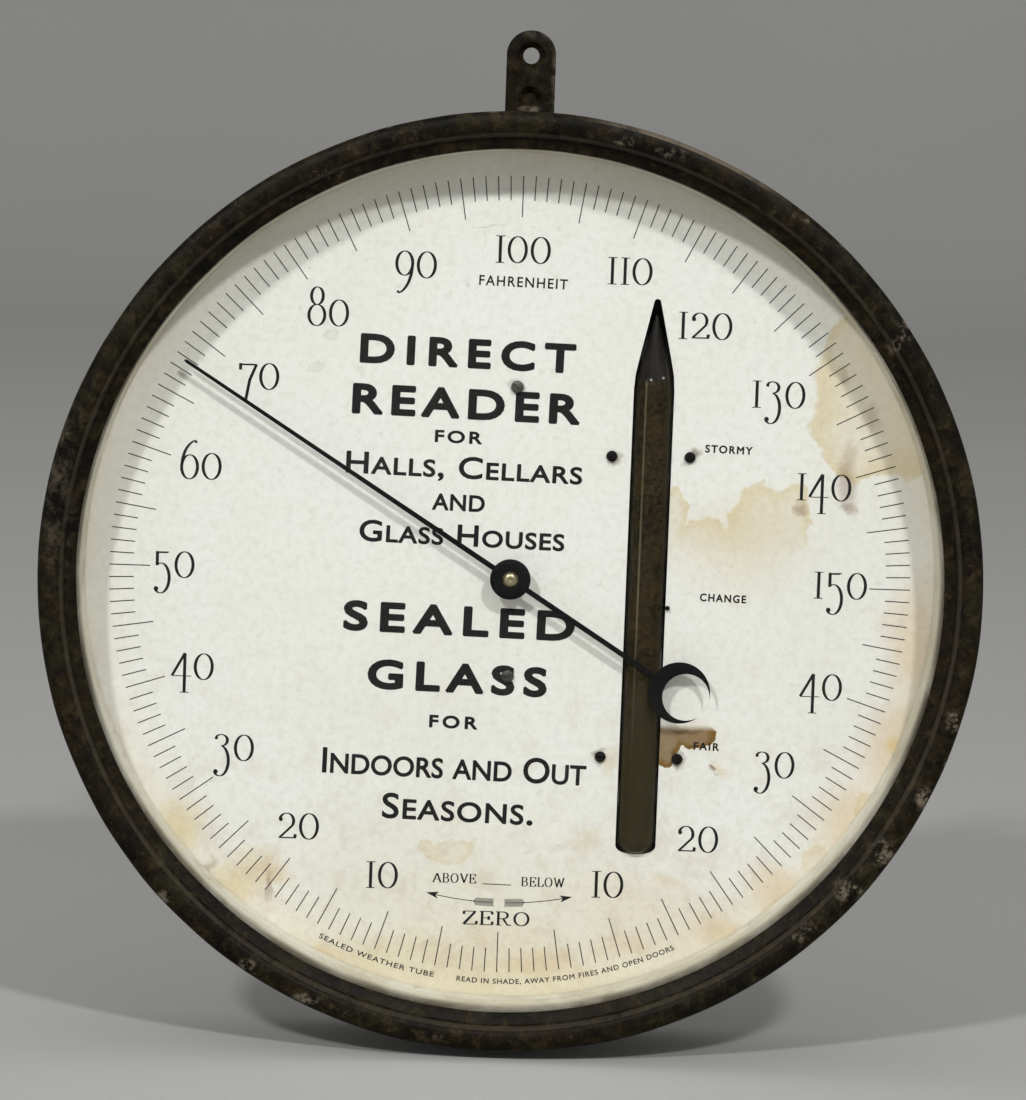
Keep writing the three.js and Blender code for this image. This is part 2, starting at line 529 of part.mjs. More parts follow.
function makePointer() {
  const { frontY, thick, tipZ, tipHalf, hubHalf, eyeR, moonZ, moonR, moonCutR, moonCutShift } = POINTER;
  const backY = frontY + thick;
  const tailZ = moonZ + moonR - hubHalf;
  const needle = new THREE.Shape([[-hubHalf, tailZ], [hubHalf, tailZ], [hubHalf, 0], [tipHalf, tipZ],
    [-tipHalf, tipZ], [-hubHalf, 0]].map(([x, z]) => new THREE.Vector2(x, z)));
  const moon = cut(flat(disc(0, moonZ, moonR), frontY, backY, 14),
    [rod(moonCutR, frontY - CUT, backY + CUT, 0, moonZ - moonCutShift, 28)]);
  const blade = cut(join([flat(needle, frontY, backY), flat(disc(0, 0, eyeR), frontY, backY, 8), moon]),
    [rod(POINTER.boreR, frontY - CUT, backY + CUT)]);
  const turn = radians(POINTER.restDeg);
  add('pointer', blade, bluedSteel).rotation.y = turn;
  const bossBack = frontY - GAP;
  add('pointer_boss', turned([[POINTER.boreR, bossBack], [POINTER.bossR, bossBack],
    [POINTER.bossR, bossBack - 0.6], [POINTER.bossR - 0.6, bossBack - POINTER.bossThick],
    [POINTER.boreR, bossBack - POINTER.bossThick]], 28), bluedSteel);
  const arborFront = bossBack - POINTER.bossThick - 0.2;
  add('pointer_collet', turned([[ARBOR.boreR, arborFront], [POINTER.colletR, arborFront],
    [POINTER.colletR, backY + 2], [ARBOR.boreR, backY + 2]], 20), brass);
  add('pointer_arbor', rod(ARBOR.r, arborFront + 0.3, MOVEMENT.backY + 0.5), steel);
}

function makeHairspring() {
  const { innerR, outerR, turns, stepsPerTurn, halfThick, frontY, backY } = SPRING;
  const steps = stepsPerTurn * turns;
  const edge = (offset) => Array.from({ length: steps + 1 }, (_, i) => {
    const a = 2 * Math.PI * turns * i / steps;
    const r = innerR + (outerR - innerR) * i / steps + offset;
    return new THREE.Vector2(r * Math.cos(a), r * Math.sin(a));
  });
  const outline = new THREE.Shape([...edge(halfThick), ...edge(-halfThick).reverse()]);
  add('hairspring', flat(outline, frontY, backY), steel);
  add('hairspring_collet', turned([[ARBOR.boreR, frontY], [SPRING.colletR, frontY], [SPRING.colletR, backY],
    [ARBOR.boreR, backY]], SMALL_ROUND), brass);
  const studX = outerR + halfThick + GAP + SPRING.studR;
  add('hairspring_stud', rod(SPRING.studR, frontY - GAP, BACK_PLATE_FRONT_Y - GAP, studX, 0), brass);
}

makeCase();
makeBezel();
makeGlazing();
makeDial();
makeStormGlass();
makeHanger();
makeMovementFrame();
makeBimetal();
makePinion();
makeSector();
makeLink();
makePointer();
makeHairspring();

export default thermometer;
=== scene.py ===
"""Looks of an old wall-hung dial thermometer: brass case, printed dial, storm glass, pointer.

Lengths are millimetres in the shape code and become metres in the meshes. X is to the
right, Z is up and the dial faces -Y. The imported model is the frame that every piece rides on.
"""
import math

import bmesh
import bpy
from mathutils import Matrix, Vector, noise
from mathutils.geometry import delaunay_2d_cdt


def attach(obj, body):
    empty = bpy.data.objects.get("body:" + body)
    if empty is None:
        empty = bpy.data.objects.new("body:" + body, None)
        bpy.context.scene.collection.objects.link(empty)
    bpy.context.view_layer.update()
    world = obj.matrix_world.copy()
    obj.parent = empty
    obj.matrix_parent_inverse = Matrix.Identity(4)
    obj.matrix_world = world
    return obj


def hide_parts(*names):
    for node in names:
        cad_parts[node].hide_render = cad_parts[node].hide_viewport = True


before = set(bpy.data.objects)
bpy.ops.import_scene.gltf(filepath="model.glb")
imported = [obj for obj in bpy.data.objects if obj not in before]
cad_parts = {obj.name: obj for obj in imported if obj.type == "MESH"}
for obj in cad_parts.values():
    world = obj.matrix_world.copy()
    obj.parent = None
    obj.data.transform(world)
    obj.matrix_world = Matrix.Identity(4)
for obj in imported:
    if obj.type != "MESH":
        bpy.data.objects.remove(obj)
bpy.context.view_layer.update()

MM = 0.001
CASE_BODY = "case_body"
POINTER_BODY = "pointer_body"

# ---- sizes, in millimetres

SIDES = 256                 # sides of the large turned pieces
FINE = 64                   # sides of the small ones
PAPER_FRONT = -28.25
PAPER_BACK = -28.0
PAPER_R = 106.5
INK_FRONT = PAPER_FRONT - 0.03
INK_BACK = PAPER_FRONT + 0.01

TUBE_X, TUBE_Y, TUBE_R, TUBE_WALL = 32.3, -26.8, 4.75, 0.3
TUBE_BOTTOM, TUBE_SHOULDER, TUBE_TIP = -65.5, 48.9, 66.9
TUBE_LEAN = 0.0045          # how far right the tube leans for each millimetre up
TUBE_MIDDLE_Z = -9.0
TUBE_SCREWS = {
    "tube_screw_upper_left": (23.1, 29.6, -28),
    "tube_screw_upper_right": (41.6, 29.9, 62),
    "tube_screw_lower_left": (22.9, -42.2, 12),
    "tube_screw_lower_right": (41.2, -42.2, 80),
}
TUBE_PIN = (37.6, -6.2)
DIAL_SCREWS = {"dial_screw_upper": (0.2, 45.2, 38), "dial_screw_lower": (0.2, -23.6, -20)}

SCALE_R = 95.0              # outer ends of the degree marks
MINOR_MARK, MAJOR_MARK, MARK_WIDTH = 5.8, 9.7, 0.24
DEGREES_A_TURN = 200
NUMERAL_R = 77.6
NUMERAL_HEIGHT = 6.5        # height of the small numerals 0, 1 and 2
NUMERAL_SPREAD = 1.07       # their width, against the drawn glyphs
# Numerals the printer set a little off the circle, with how far right and up.
NUMERAL_SHIFTS = {
    10: (-4.0, 1.4), 20: (-2.6, 1.5), 30: (-1.4, 2.7), 40: (-0.6, 0.2), 50: (-1.9, 0.4), 70: (2.1, 0.1),
    80: (0.8, -1.5), 90: (-0.5, -0.5), 100: (0.6, 0.0), 110: (2.0, -0.4), 120: (-1.4, -1.7),
    130: (-0.6, -0.2), 140: (0.0, -0.2), 150: (1.0, 0.5),
    -10: (1.9, 0.8), -20: (1.4, 1.4), -30: (1.8, 2.7), -40: (1.2, 0.1),
}
NUMERAL_THICK, NUMERAL_THIN = 0.74, 0.20

TAB_X, TAB_HALF, TAB_FRONT, TAB_BACK = 1.2, 5.9, -3.2, -1.3
TAB_BOTTOM, TAB_TOP = 84.0, 129.2
TAB_GAP = 0.3               # room round the tab in the case's slot
RIVET_ZS, RIVET_R = (88.5, 96.5), 1.6
VENTS, VENT_R, VENT_RING_R = 8, 3.1, 60.0

# ---- mesh helpers


def add_mesh(name, points, faces, sharp=32):
    """A mesh object from points in millimetres, smooth but for edges sharper than that angle."""
    mesh = bpy.data.meshes.new(name)
    mesh.from_pydata([Vector(p) * MM for p in points], [], faces)
    obj = bpy.data.objects.new(name, mesh)
    bpy.context.scene.collection.objects.link(obj)
    settle(obj, sharp)
    return obj


def settle(obj, sharp=32):
    """Turns the faces outward and marks which edges stay sharp."""
    bm = bmesh.new()
    bm.from_mesh(obj.data)
    bmesh.ops.recalc_face_normals(bm, faces=bm.faces)
    for edge in bm.edges:
        edge.smooth = edge.is_manifold and edge.calc_face_angle(0) < math.radians(sharp)
    for face in bm.faces:
        face.smooth = True
    bm.to_mesh(obj.data)
    bm.free()


def declare(obj, slot, material, *nodes, body=CASE_BODY):
    """Gives a piece its finish, the body it moves with and the CAD nodes it stands for."""
    obj.data.materials.clear()
    obj.data.materials.append(material)
    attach(obj, body)
    if nodes:
        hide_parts(*nodes)
    return obj


def softened(points, radius, steps=4):
    """A closed outline with its corners rounded, but for those on the turning axis."""
    out = []
    count = len(points)
    for i, here in enumerate(points):
        here = Vector(here[:2])
        before, after = Vector(points[i - 1][:2]), Vector(points[(i + 1) % count][:2])
        reach = points[i][2] if len(points[i]) > 2 else radius
        reach = min(reach, (before - here).length * 0.45, (after - here).length * 0.45)
        if here.x < 1e-6 or reach < 0.01:
            out.append(tuple(here))
            continue
        a = here + (before - here).normalized() * reach
        b = here + (after - here).normalized() * reach
        for k in range(steps + 1):
            u = k / steps
            out.append(tuple(a * (1 - u) ** 2 + here * 2 * u * (1 - u) + b * u ** 2))
    return out


def turned(profile, sides=SIDES, x=0.0, z=0.0):
    """Points and faces of a closed profile of (radius, y) turned about an axis along Y."""
    points, rings, faces = [], [], []
    for r, y in profile:
        start = len(points)
        if r < 1e-6:
            points.append((x, y, z))
            rings.append([start])
            continue
        for i in range(sides):
            a = 2 * math.pi * i / sides
            points.append((x + r * math.cos(a), y, z + r * math.sin(a)))
        rings.append(range(start, start + sides))
    for a, b in zip(rings, rings[1:] + rings[:1]):
        for i in range(sides):
            j = (i + 1) % sides
            if len(a) > 1 and len(b) > 1:
                faces.append((a[i], b[i], b[j], a[j]))
            elif len(a) > 1:
                faces.append((a[i], b[0], a[j]))
            elif len(b) > 1:
                faces.append((a[0], b[i], b[j]))
    return points, faces


def circle(x, z, r, sides=FINE):
    return [(x + r * math.cos(2 * math.pi * i / sides), z + r * math.sin(2 * math.pi * i / sides))
            for i in range(sides)]


def signed_area(outline):
    return 0.5 * sum(a[0] * b[1] - b[0] * a[1] for a, b in zip(outline, outline[1:] + outline[:1]))


def inside(outline, x, z):
    """Whether a point lies in an outline, from how many edges it has on its right."""
    crossings = 0
    for (ax, az), (bx, bz) in zip(outline, outline[1:] + outline[:1]):
        if (az > z) != (bz > z) and x < ax + (z - az) * (bx - ax) / (bz - az):
            crossings += 1
    return crossings % 2 == 1


def flat_solid(outlines, holes, front, back):
    """Points and faces of the union of outlines in x and z, less the holes, as a closed plate."""
    shapes = [outline if signed_area(outline) > 0 else outline[::-1] for outline in outlines + holes]
    coords, loops = [], []
    for shape in shapes:
        loops.append(list(range(len(coords), len(coords) + len(shape))))
        coords += [Vector(p) for p in shape]
    verts, _, tris, _, _, origins = delaunay_2d_cdt(coords, [], loops, 1, 1e-5)
    kept = []
    for tri, sources in zip(tris, origins):
        x = sum(verts[i].x for i in tri) / 3
        z = sum(verts[i].y for i in tri) / 3
        over = [i for i in sources if inside(shapes[i], x, z)]
        if over and max(over) < len(outlines):
            kept.append(tri)
    used = sorted({i for t in kept for i in t})
    place = {old: new for new, old in enumerate(used)}
    count = len(used)
    points = [(verts[i].x, front, verts[i].y) for i in used]
    points += [(verts[i].x, back, verts[i].y) for i in used]
    faces, borders = [], {}
    for tri in kept:
        a, b, c = (place[i] for i in tri)
        faces.append((a, b, c))
        faces.append((c + count, b + count, a + count))
        for pair in ((a, b), (b, c), (c, a)):
            if pair[::-1] in borders:
                del borders[pair[::-1]]
            else:
                borders[pair] = True
    faces += [(b, a, a + count, b + count) for a, b in borders]
    return points, faces


def carve(obj, cutters, sharp=32):
    """Cuts the cutter objects out of a piece, then removes them."""
    for cutter in cutters:
        step = obj.modifiers.new("cut", "BOOLEAN")
        step.object = cutter
        step.solver = "EXACT"
    bake_modifiers(obj, sharp)
    for cutter in cutters:
        bpy.data.objects.remove(cutter)


def bake_modifiers(obj, sharp=32):
    bpy.context.view_layer.update()
    seen = obj.evaluated_get(bpy.context.evaluated_depsgraph_get())
    obj.data = bpy.data.meshes.new_from_object(seen)
    obj.modifiers.clear()
    settle(obj, sharp)


def soften_edges(obj, width, segments=2, sharp=32):
    step = obj.modifiers.new("soft", "BEVEL")
    step.width = width * MM
    step.segments = segments
    step.limit_method = "ANGLE"
    step.angle_limit = math.radians(40)
    bake_modifiers(obj, sharp)


def joined(name, parts, sharp=32):
    points, faces = [], []
    for more_points, more_faces in parts:
        start = len(points)
        points += more_points
        faces += [tuple(i + start for i in face) for face in more_faces]
    return add_mesh(name, points, faces, sharp)


def dented(points, size, depth, seed):
    """Moves points a little, so that a turned surface has the waver of old metal."""
    out = []
    for p in points:
        at = Vector(p) / size + Vector((seed, 0, 0))
        push = noise.noise(at) * depth
        out.append((p[0] * (1 + push / 110), p[1] + push * 0.5, p[2] * (1 + push / 110)))
    return out


def box(x0, x1, y0, y1, z0, z1, turn=0.0, centre=(0.0, 0.0)):
    points = [(x, y, z) for x in (x0, x1) for y in (y0, y1) for z in (z0, z1)]
    if turn:
        c, s = math.cos(turn), math.sin(turn)
        points = [(x * c + z * s, y, -x * s + z * c) for x, y, z in points]
    points = [(x + centre[0], y, z + centre[1]) for x, y, z in points]
    faces = [(0, 1, 3, 2), (4, 6, 7, 5), (0, 4, 5, 1), (2, 3, 7, 6), (0, 2, 6, 4), (1, 5, 7, 3)]
    return points, faces


# ---- material helpers


class Shader:
    """One node material, built from short calls. Colours are linear."""

    def __init__(self, name):
        self.material = bpy.data.materials.new(name)
        self.material.use_nodes = True
        self.tree = self.material.node_tree
        self.surface = self.tree.nodes["Principled BSDF"]
        self.output = self.tree.nodes["Material Output"]
        self.place = self.new("ShaderNodeTexCoord").outputs["Object"]

    def new(self, kind, **props):
        node = self.tree.nodes.new(kind)
        for key, value in props.items():
            setattr(node, key, value)
        return node

    def feed(self, socket, value):
        if isinstance(value, bpy.types.NodeSocket):
            self.tree.links.new(value, socket)
        elif isinstance(value, (tuple, list)) and len(value) == 3 and socket.type == "RGBA":
            socket.default_value = (*value, 1)
        else:
            socket.default_value = value

    def set(self, **values):
        for key, value in values.items():
            self.feed(self.surface.inputs[key.replace("_", " ")], value)

    def maths(self, operation, a, b=0.0):
        node = self.new("ShaderNodeMath", operation=operation)
        self.feed(node.inputs[0], a)
        self.feed(node.inputs[1], b)
        return node.outputs[0]

    def times(self, a, b):
        return self.maths("MULTIPLY", a, b)

    def vector(self, operation, a, b=(0, 0, 0)):
        node = self.new("ShaderNodeVectorMath", operation=operation)
        self.feed(node.inputs[0], a)
        self.feed(node.inputs[1], b)
        return node.outputs["Value" if operation == "LENGTH" else "Vector"]

    def split(self, vector):
        node = self.new("ShaderNodeSeparateXYZ")
        self.feed(node.inputs[0], vector)
        return node.outputs

    def combine(self, x, y, z):
        node = self.new("ShaderNodeCombineXYZ")
        for socket, value in zip(node.inputs, (x, y, z)):
            self.feed(socket, value)
        return node.outputs[0]

    def noise(self, scale, detail=3.0, rough=0.55, at=None, twist=0.0, colour=False):
        node = self.new("ShaderNodeTexNoise")
        self.feed(node.inputs["Vector"], at or self.place)
        node.inputs["Scale"].default_value = scale
        node.inputs["Detail"].default_value = detail
        node.inputs["Roughness"].default_value = rough
        node.inputs["Distortion"].default_value = twist
        return node.outputs["Color" if colour else 0]

    def stretch(self, x, y, z, at=None):
        node = self.new("ShaderNodeMapping")
        self.feed(node.inputs["Vector"], at or self.place)
        node.inputs["Scale"].default_value = (x, y, z)
        return node.outputs[0]

    def ramp(self, value, stops):
        """A grey or colour ramp. Stops are (place, colour or grey)."""
        node = self.new("ShaderNodeValToRGB")
        marks = node.color_ramp.elements
        while len(marks) < len(stops):
            marks.new(0.5)
        for mark, (place, colour) in zip(marks, stops):
            mark.position = place
            tone = colour if isinstance(colour, (tuple, list)) else (colour,) * 3
            mark.color = (*tone, 1)
        self.feed(node.inputs[0], value)
        return node.outputs[0]

    def rise(self, value, low, high, share=1.0):
        return self.ramp(value, [(low, 0.0), (high, share)])

    def spread(self, value, low, high, to_low=0.0, to_high=1.0):
        node = self.new("ShaderNodeMapRange", interpolation_type="SMOOTHSTEP")
        for socket, item in zip(node.inputs, (value, low, high, to_low, to_high)):
            self.feed(socket, item)
        return node.outputs[0]

    def mix(self, amount, a, b, blend="MIX"):
        node = self.new("ShaderNodeMix", data_type="RGBA", blend_type=blend)
        self.feed(node.inputs[0], amount)
        self.feed(node.inputs[6], a)
        self.feed(node.inputs[7], b)
        return node.outputs[2]

    def tint(self, tone, value, low, high, share, colour):
        """Lays a colour over a tone where a value is high."""
        return self.mix(self.rise(value, low, high, share), tone, colour)

    def bump(self, height, strength, distance, normal=None):
        node = self.new("ShaderNodeBump")
        node.inputs["Strength"].default_value = strength
        node.inputs["Distance"].default_value = distance * MM
        self.feed(node.inputs["Height"], height)
        if normal:
            self.feed(node.inputs["Normal"], normal)
        self.feed(self.surface.inputs["Normal"], node.outputs[0])
        return node.outputs[0]

    def radius(self):
        """Distance from the dial's axis, in metres."""
        x, _, z = self.split(self.place)
        squares = self.maths("ADD", self.maths("POWER", x, 2.0), self.maths("POWER", z, 2.0))
        return self.maths("SQRT", squares)


# ---- materials

PATINA_DARK = (0.0030, 0.0026, 0.0014)
PATINA_BROWN = (0.0115, 0.0080, 0.0032)
PATINA_RED = (0.026, 0.0135, 0.006)
PATINA_GREEN = (0.0125, 0.0120, 0.0050)
PATINA_OCHRE = (0.034, 0.0255, 0.0105)
PATINA_BLACK = (0.0025, 0.002, 0.0016)
PATINA_DUST = (0.075, 0.066, 0.048)
# Pale brass for worn places; also the colour of the painted highlight on the bezel's lip.
WORN_BRASS_AND_HIGHLIGHT = (0.24, 0.20, 0.15)


def metal_patina(name, wear_and_highlight_masks, brown_share=0.5):
    """Old dark brass. Wear and highlight masks are functions of the shader that give places worn to metal
    and a painted highlight, both in pale brass.
    """
    s = Shader(name)
    large = s.noise(34, 4, 0.65, twist=0.6)
    middle = s.noise(130, 5, 0.66)
    small = s.noise(460, 5, 0.7)
    grain = s.noise(1500, 3, 0.6)
    tone = s.mix(s.rise(large, 0.40, 0.60, 1.0), PATINA_DARK, PATINA_BROWN)
    tone = s.mix(s.rise(middle, 0.50, 0.70, brown_share), tone, PATINA_RED)
    tone = s.mix(s.rise(s.noise(80, 4, 0.7, at=s.stretch(1, 1.7, 1.3)), 0.50, 0.66, 0.9),
                 tone, PATINA_GREEN)
    ochre = s.noise(260, 6, 0.75, twist=0.8)
    tone = s.tint(tone, ochre, 0.50, 0.64, 0.65, PATINA_OCHRE)
    tone = s.mix(s.ramp(small, [(0.36, 0.85), (0.54, 0.0)]), tone, PATINA_BLACK)
    tone = s.tint(tone, small, 0.62, 0.74, 0.45, PATINA_DUST)
    tone = s.tint(tone, grain, 0.64, 0.78, 0.35, PATINA_DUST)
    wear_and_highlight = 0.0
    for mask in wear_and_highlight_masks:
        wear_and_highlight = s.maths("MAXIMUM", wear_and_highlight, mask(s, small, middle))
    tone = s.mix(wear_and_highlight, tone, WORN_BRASS_AND_HIGHLIGHT)
    s.set(Base_Color=tone, Specular_IOR_Level=0.07)
    s.set(Metallic=s.spread(wear_and_highlight, 0.0, 1.0, 0.0, 0.4))
    s.set(Roughness=s.spread(small, 0.3, 0.75, 0.38, 0.62))
    coarse = s.bump(middle, 0.35, 0.45)
    s.bump(s.maths("ADD", small, s.times(grain, 0.4)), 0.5, 0.16, coarse)
    return s.material


def band(low, high, soft, share=1.0, coarse=0.45):
    """A ring of the bezel between two radii, broken up by noise, for wear and for the painted highlight on
    the lip.
    """
    def mask(s, small, middle):
        r = s.radius()
        inside = s.times(s.spread(r, (low - soft) * MM, low * MM),
                         s.spread(r, high * MM, (high + soft) * MM, 1.0, 0.0))
        noise_breakup = s.ramp(s.maths("ADD", s.times(small, 0.5), s.times(middle, 0.5)),
                        [(coarse, 0.0), (coarse + 0.1, share)])
        return s.times(inside, noise_breakup)
    return mask


def patch(x, y, z, rx, ry, rz, share=1.0, coarse=0.5, wide=0.12):
    """Wear, and the painted highlights, in one place, at a point with three half-widths in millimetres."""
    def mask(s, small, middle):
        moved = s.vector("SUBTRACT", s.place, tuple(v * MM for v in (x, y, z)))
        scaled = s.vector("DIVIDE", moved, tuple(v * MM for v in (rx, ry, rz)))
        near = s.spread(s.vector("LENGTH", scaled), 0.35, 1.0, 1.0, 0.0)
        noise_breakup = s.maths("ADD", s.times(small, 0.6), s.times(middle, 0.4))
        return s.times(near, s.ramp(noise_breakup, [(coarse - wide, 0.0), (coarse + wide, share)]))
    return mask


def both(first, second):
    return lambda s, small, middle: s.times(first(s, small, middle), second(s, small, middle))


def bright_metal(name, base, dark, rough, brush=(1, 1, 1), tarnish=0.6):
    """Plain metal with tarnish, brushing and small pits."""
    s = Shader(name)
    brushed = s.noise(900, 3, 0.6, at=s.stretch(*brush))
    cloud = s.noise(70, 4, 0.6, twist=0.4)
    spots = s.noise(520, 4, 0.7)
    tone = s.mix(s.rise(cloud, 0.4, 0.7, tarnish), base, dark)
    tone = s.tint(tone, spots, 0.58, 0.72, 0.7, tuple(v * 0.35 for v in dark))
    tone = s.tint(tone, brushed, 0.35, 0.65, 0.3, tuple(min(1, v * 1.25) for v in base))
    s.set(Base_Color=tone, Metallic=0.9)
    s.set(Roughness=s.spread(spots, 0.3, 0.7, rough - 0.08, rough + 0.16))
    s.bump(s.maths("ADD", brushed, spots), 0.25, 0.05)
    return s.material


def black_steel(name, base, edge, rough):
    """Blued or painted steel, with grey rubbing and dust."""
    s = Shader(name)
    fine = s.noise(1500, 4, 0.65)
    cloud = s.noise(160, 4, 0.6)
    tone = s.mix(s.rise(cloud, 0.45, 0.7, 0.55), base, edge)
    tone = s.tint(tone, fine, 0.6, 0.72, 0.6, tuple(v * 2.2 for v in edge))
    s.set(Base_Color=tone, Metallic=0.0, Specular_IOR_Level=0.06)
    s.set(Roughness=s.spread(cloud, 0.3, 0.7, rough - 0.1, rough + 0.12))
    s.bump(fine, 0.3, 0.03)
    return s.material


def clear_pane(name, tint, rough, dust, bend):
    """Glass thin enough that light goes straight through: clear, with a surface gloss and dust."""
    s = Shader(name)
    s.tree.nodes.remove(s.surface)
    clear = s.new("ShaderNodeBsdfTransparent")
    clear.inputs[0].default_value = (*tint, 1)
    gloss = s.new("ShaderNodeBsdfGlossy")
    gloss.inputs["Roughness"].default_value = rough
    edge = s.new("ShaderNodeFresnel")
    edge.inputs["IOR"].default_value = bend
    mixed = s.new("ShaderNodeMixShader")
    s.feed(mixed.inputs[0], edge.outputs[0])
    s.feed(mixed.inputs[1], clear.outputs[0])
    s.feed(mixed.inputs[2], gloss.outputs[0])
    film = s.new("ShaderNodeBsdfDiffuse")
    film.inputs["Color"].default_value = (0.6, 0.58, 0.54, 1)
    dusty = s.new("ShaderNodeMixShader")
    s.feed(dusty.inputs[0], s.rise(s.noise(45, 5, 0.7), 0.45, 0.8, dust))
    s.feed(dusty.inputs[1], mixed.outputs[0])
    s.feed(dusty.inputs[2], film.outputs[0])
    s.feed(s.output.inputs["Surface"], dusty.outputs[0])
    return s.material


# Stains are rows of colour to multiply by, strength, kind of edge, ellipses of (x, z, half-widths,
# turn in degrees) and, for some, the heights between which the stain comes in.
ORANGE = (0.25, 0.14, 0.035)
TAN = (0.86, 0.74, 0.50)
BROWN = (0.36, 0.22, 0.13)
PINK = (0.90, 0.76, 0.60)
YELLOW = (0.92, 0.82, 0.52)
GREY = (0.62, 0.62, 0.60)
GRIME = (0.22, 0.18, 0.14)
GRIME_R = 2.3
STAINS = [
    # beside the tube, low
    (ORANGE, 1.0, "burnt", [(43.6, -35.8, 7.9, 3.6, 0), (38.2, -38.2, 4.0, 5.4, 0)], (-33.6, -35.6)),
    (TAN, 0.5, "soft", [(45, -36.5, 10, 4.5, 0), (52.5, -43.4, 3.2, 2.2, 20)]),
    (TAN, 0.5, "soft", [(25.5, -44, 2.6, 5.5, 0)]),
    (BROWN, 0.95, "soft", [(50.6, -44.1, 1.4, 0.9, 20)]),
    # the cloud between the weather words
    (TAN, 0.78, "tide",
     [(59.5, 13, 8.4, 12.4, 0), (46.6, 5, 8.8, 12.2, 0), (66, 15.5, 5.4, 8.5, 0), (36.8, 14.5, 4.4, 8.2, 0)],
     (5, 17)),
    (TAN, 0.45, "soft", [(53, 9, 20, 14, 0)]),
    # right rim
    (TAN, 0.8, "tide",
     [(90, 46, 21, 20, 0), (81.5, 35.5, 12, 10.5, 0), (80.5, 58, 8.4, 7.6, 0)]),
    (BROWN, 0.55, "soft", [(78.8, 26.5, 3.4, 9, 0)]),
    (BROWN, 0.6, "soft", [(78.8, 20, 2.6, 2.4, 0), (68.6, 18.4, 1.9, 1.4, 0)]),
    (BROWN, 0.35, "soft", [(77.8, 52, 1.6, 2.6, 0), (84, 41, 2.5, 5, 0)]),
    (PINK, 0.8, "soft",
     [(97, -12, 10, 20, 0), (94, -38, 11, 15, 20), (84, -57, 13, 12, 40), (68, -74, 14, 8, 35)]),
    (YELLOW, 0.75, "soft", [(93.2, -37.3, 2.6, 3.4, 0)]),
    (TAN, 0.45, "tide", [(88, -53, 6, 5, 30), (77, -67, 7, 4, 40)]),
    # lower rim
    (PINK, 0.30, "soft", [(36, -79, 30, 12, 15), (0, -90, 34, 9, 0)]),
    (PINK, 0.55, "soft",
     [(40, -71.5, 5, 2.4, 0), (30, -88, 9, 4, 0), (55, -84, 10, 5, 20), (10, -93, 12, 4, 0)]),
    (YELLOW, 0.28, "soft", [(0, -98, 66, 9, 0), (-30, -94, 34, 8, -15)]),
    (YELLOW, 0.30, "soft", [(0, -90, 88, 40, 0)]),
    (TAN, 0.75, "soft", [(-64, -77, 18, 8, -42), (-77, -62, 11, 7, -50)]),
    (BROWN, 0.5, "soft", [(-54.6, -76, 1.2, 5.5, 0), (-70, -72, 2, 3, 30)]),
    (PINK, 0.7, "soft", [(-41.2, -94, 6, 4, -20), (-53.3, -72.8, 6, 4, 0)]),
    (TAN, 0.5, "tide", [(-13.5, -66.4, 7, 3.4, 0)]),
    (TAN, 0.3, "soft", [(19.8, -62.3, 6, 3, 0), (-39, -99.5, 12, 4, -20)]),
    # small grey marks
    (GREY, 0.35, "tide",
     [(-47.2, 46.4, 1.7, 1.5, 0), (-37.7, 46.4, 1.4, 1.4, 0), (-43.8, 55.8, 2, 1.6, 0)]),
    (GREY, 0.6, "soft",
     [(-52.6, 62, 0.8, 0.7, 0), (-8, 79.5, 0.7, 0.6, 0), (-12.5, 70, 0.6, 0.6, 0),
      (-49.3, 71.4, 0.8, 0.5, 0)]),
    (GREY, 0.45, "soft", [(-7.5, 82.2, 5.5, 0.5, -14), (-3, 79.8, 3.2, 0.35, 10)]),
    # grime round the screws
    (GRIME, 0.85, "soft", [(x, z, GRIME_R, GRIME_R, 0) for x, z, _ in TUBE_SCREWS.values()]),
    (GRIME, 0.5, "soft", [(x, z, GRIME_R, GRIME_R, 0) for x, z, _ in DIAL_SCREWS.values()]),
]
# How strong a stain is from its middle, 0, to its edge, 1.
STAIN_EDGES = {
    "soft": [(0.0, 1.0), (0.35, 0.85), (1.0, 0.0)],
    "tide": [(0.0, 0.5), (0.6, 0.62), (0.83, 1.0), (0.9, 0.95), (0.965, 0.0)],
    "burnt": [(0.0, 0.86), (0.62, 0.88), (0.82, 1.0), (0.97, 1.0), (0.99, 0.0)],
}


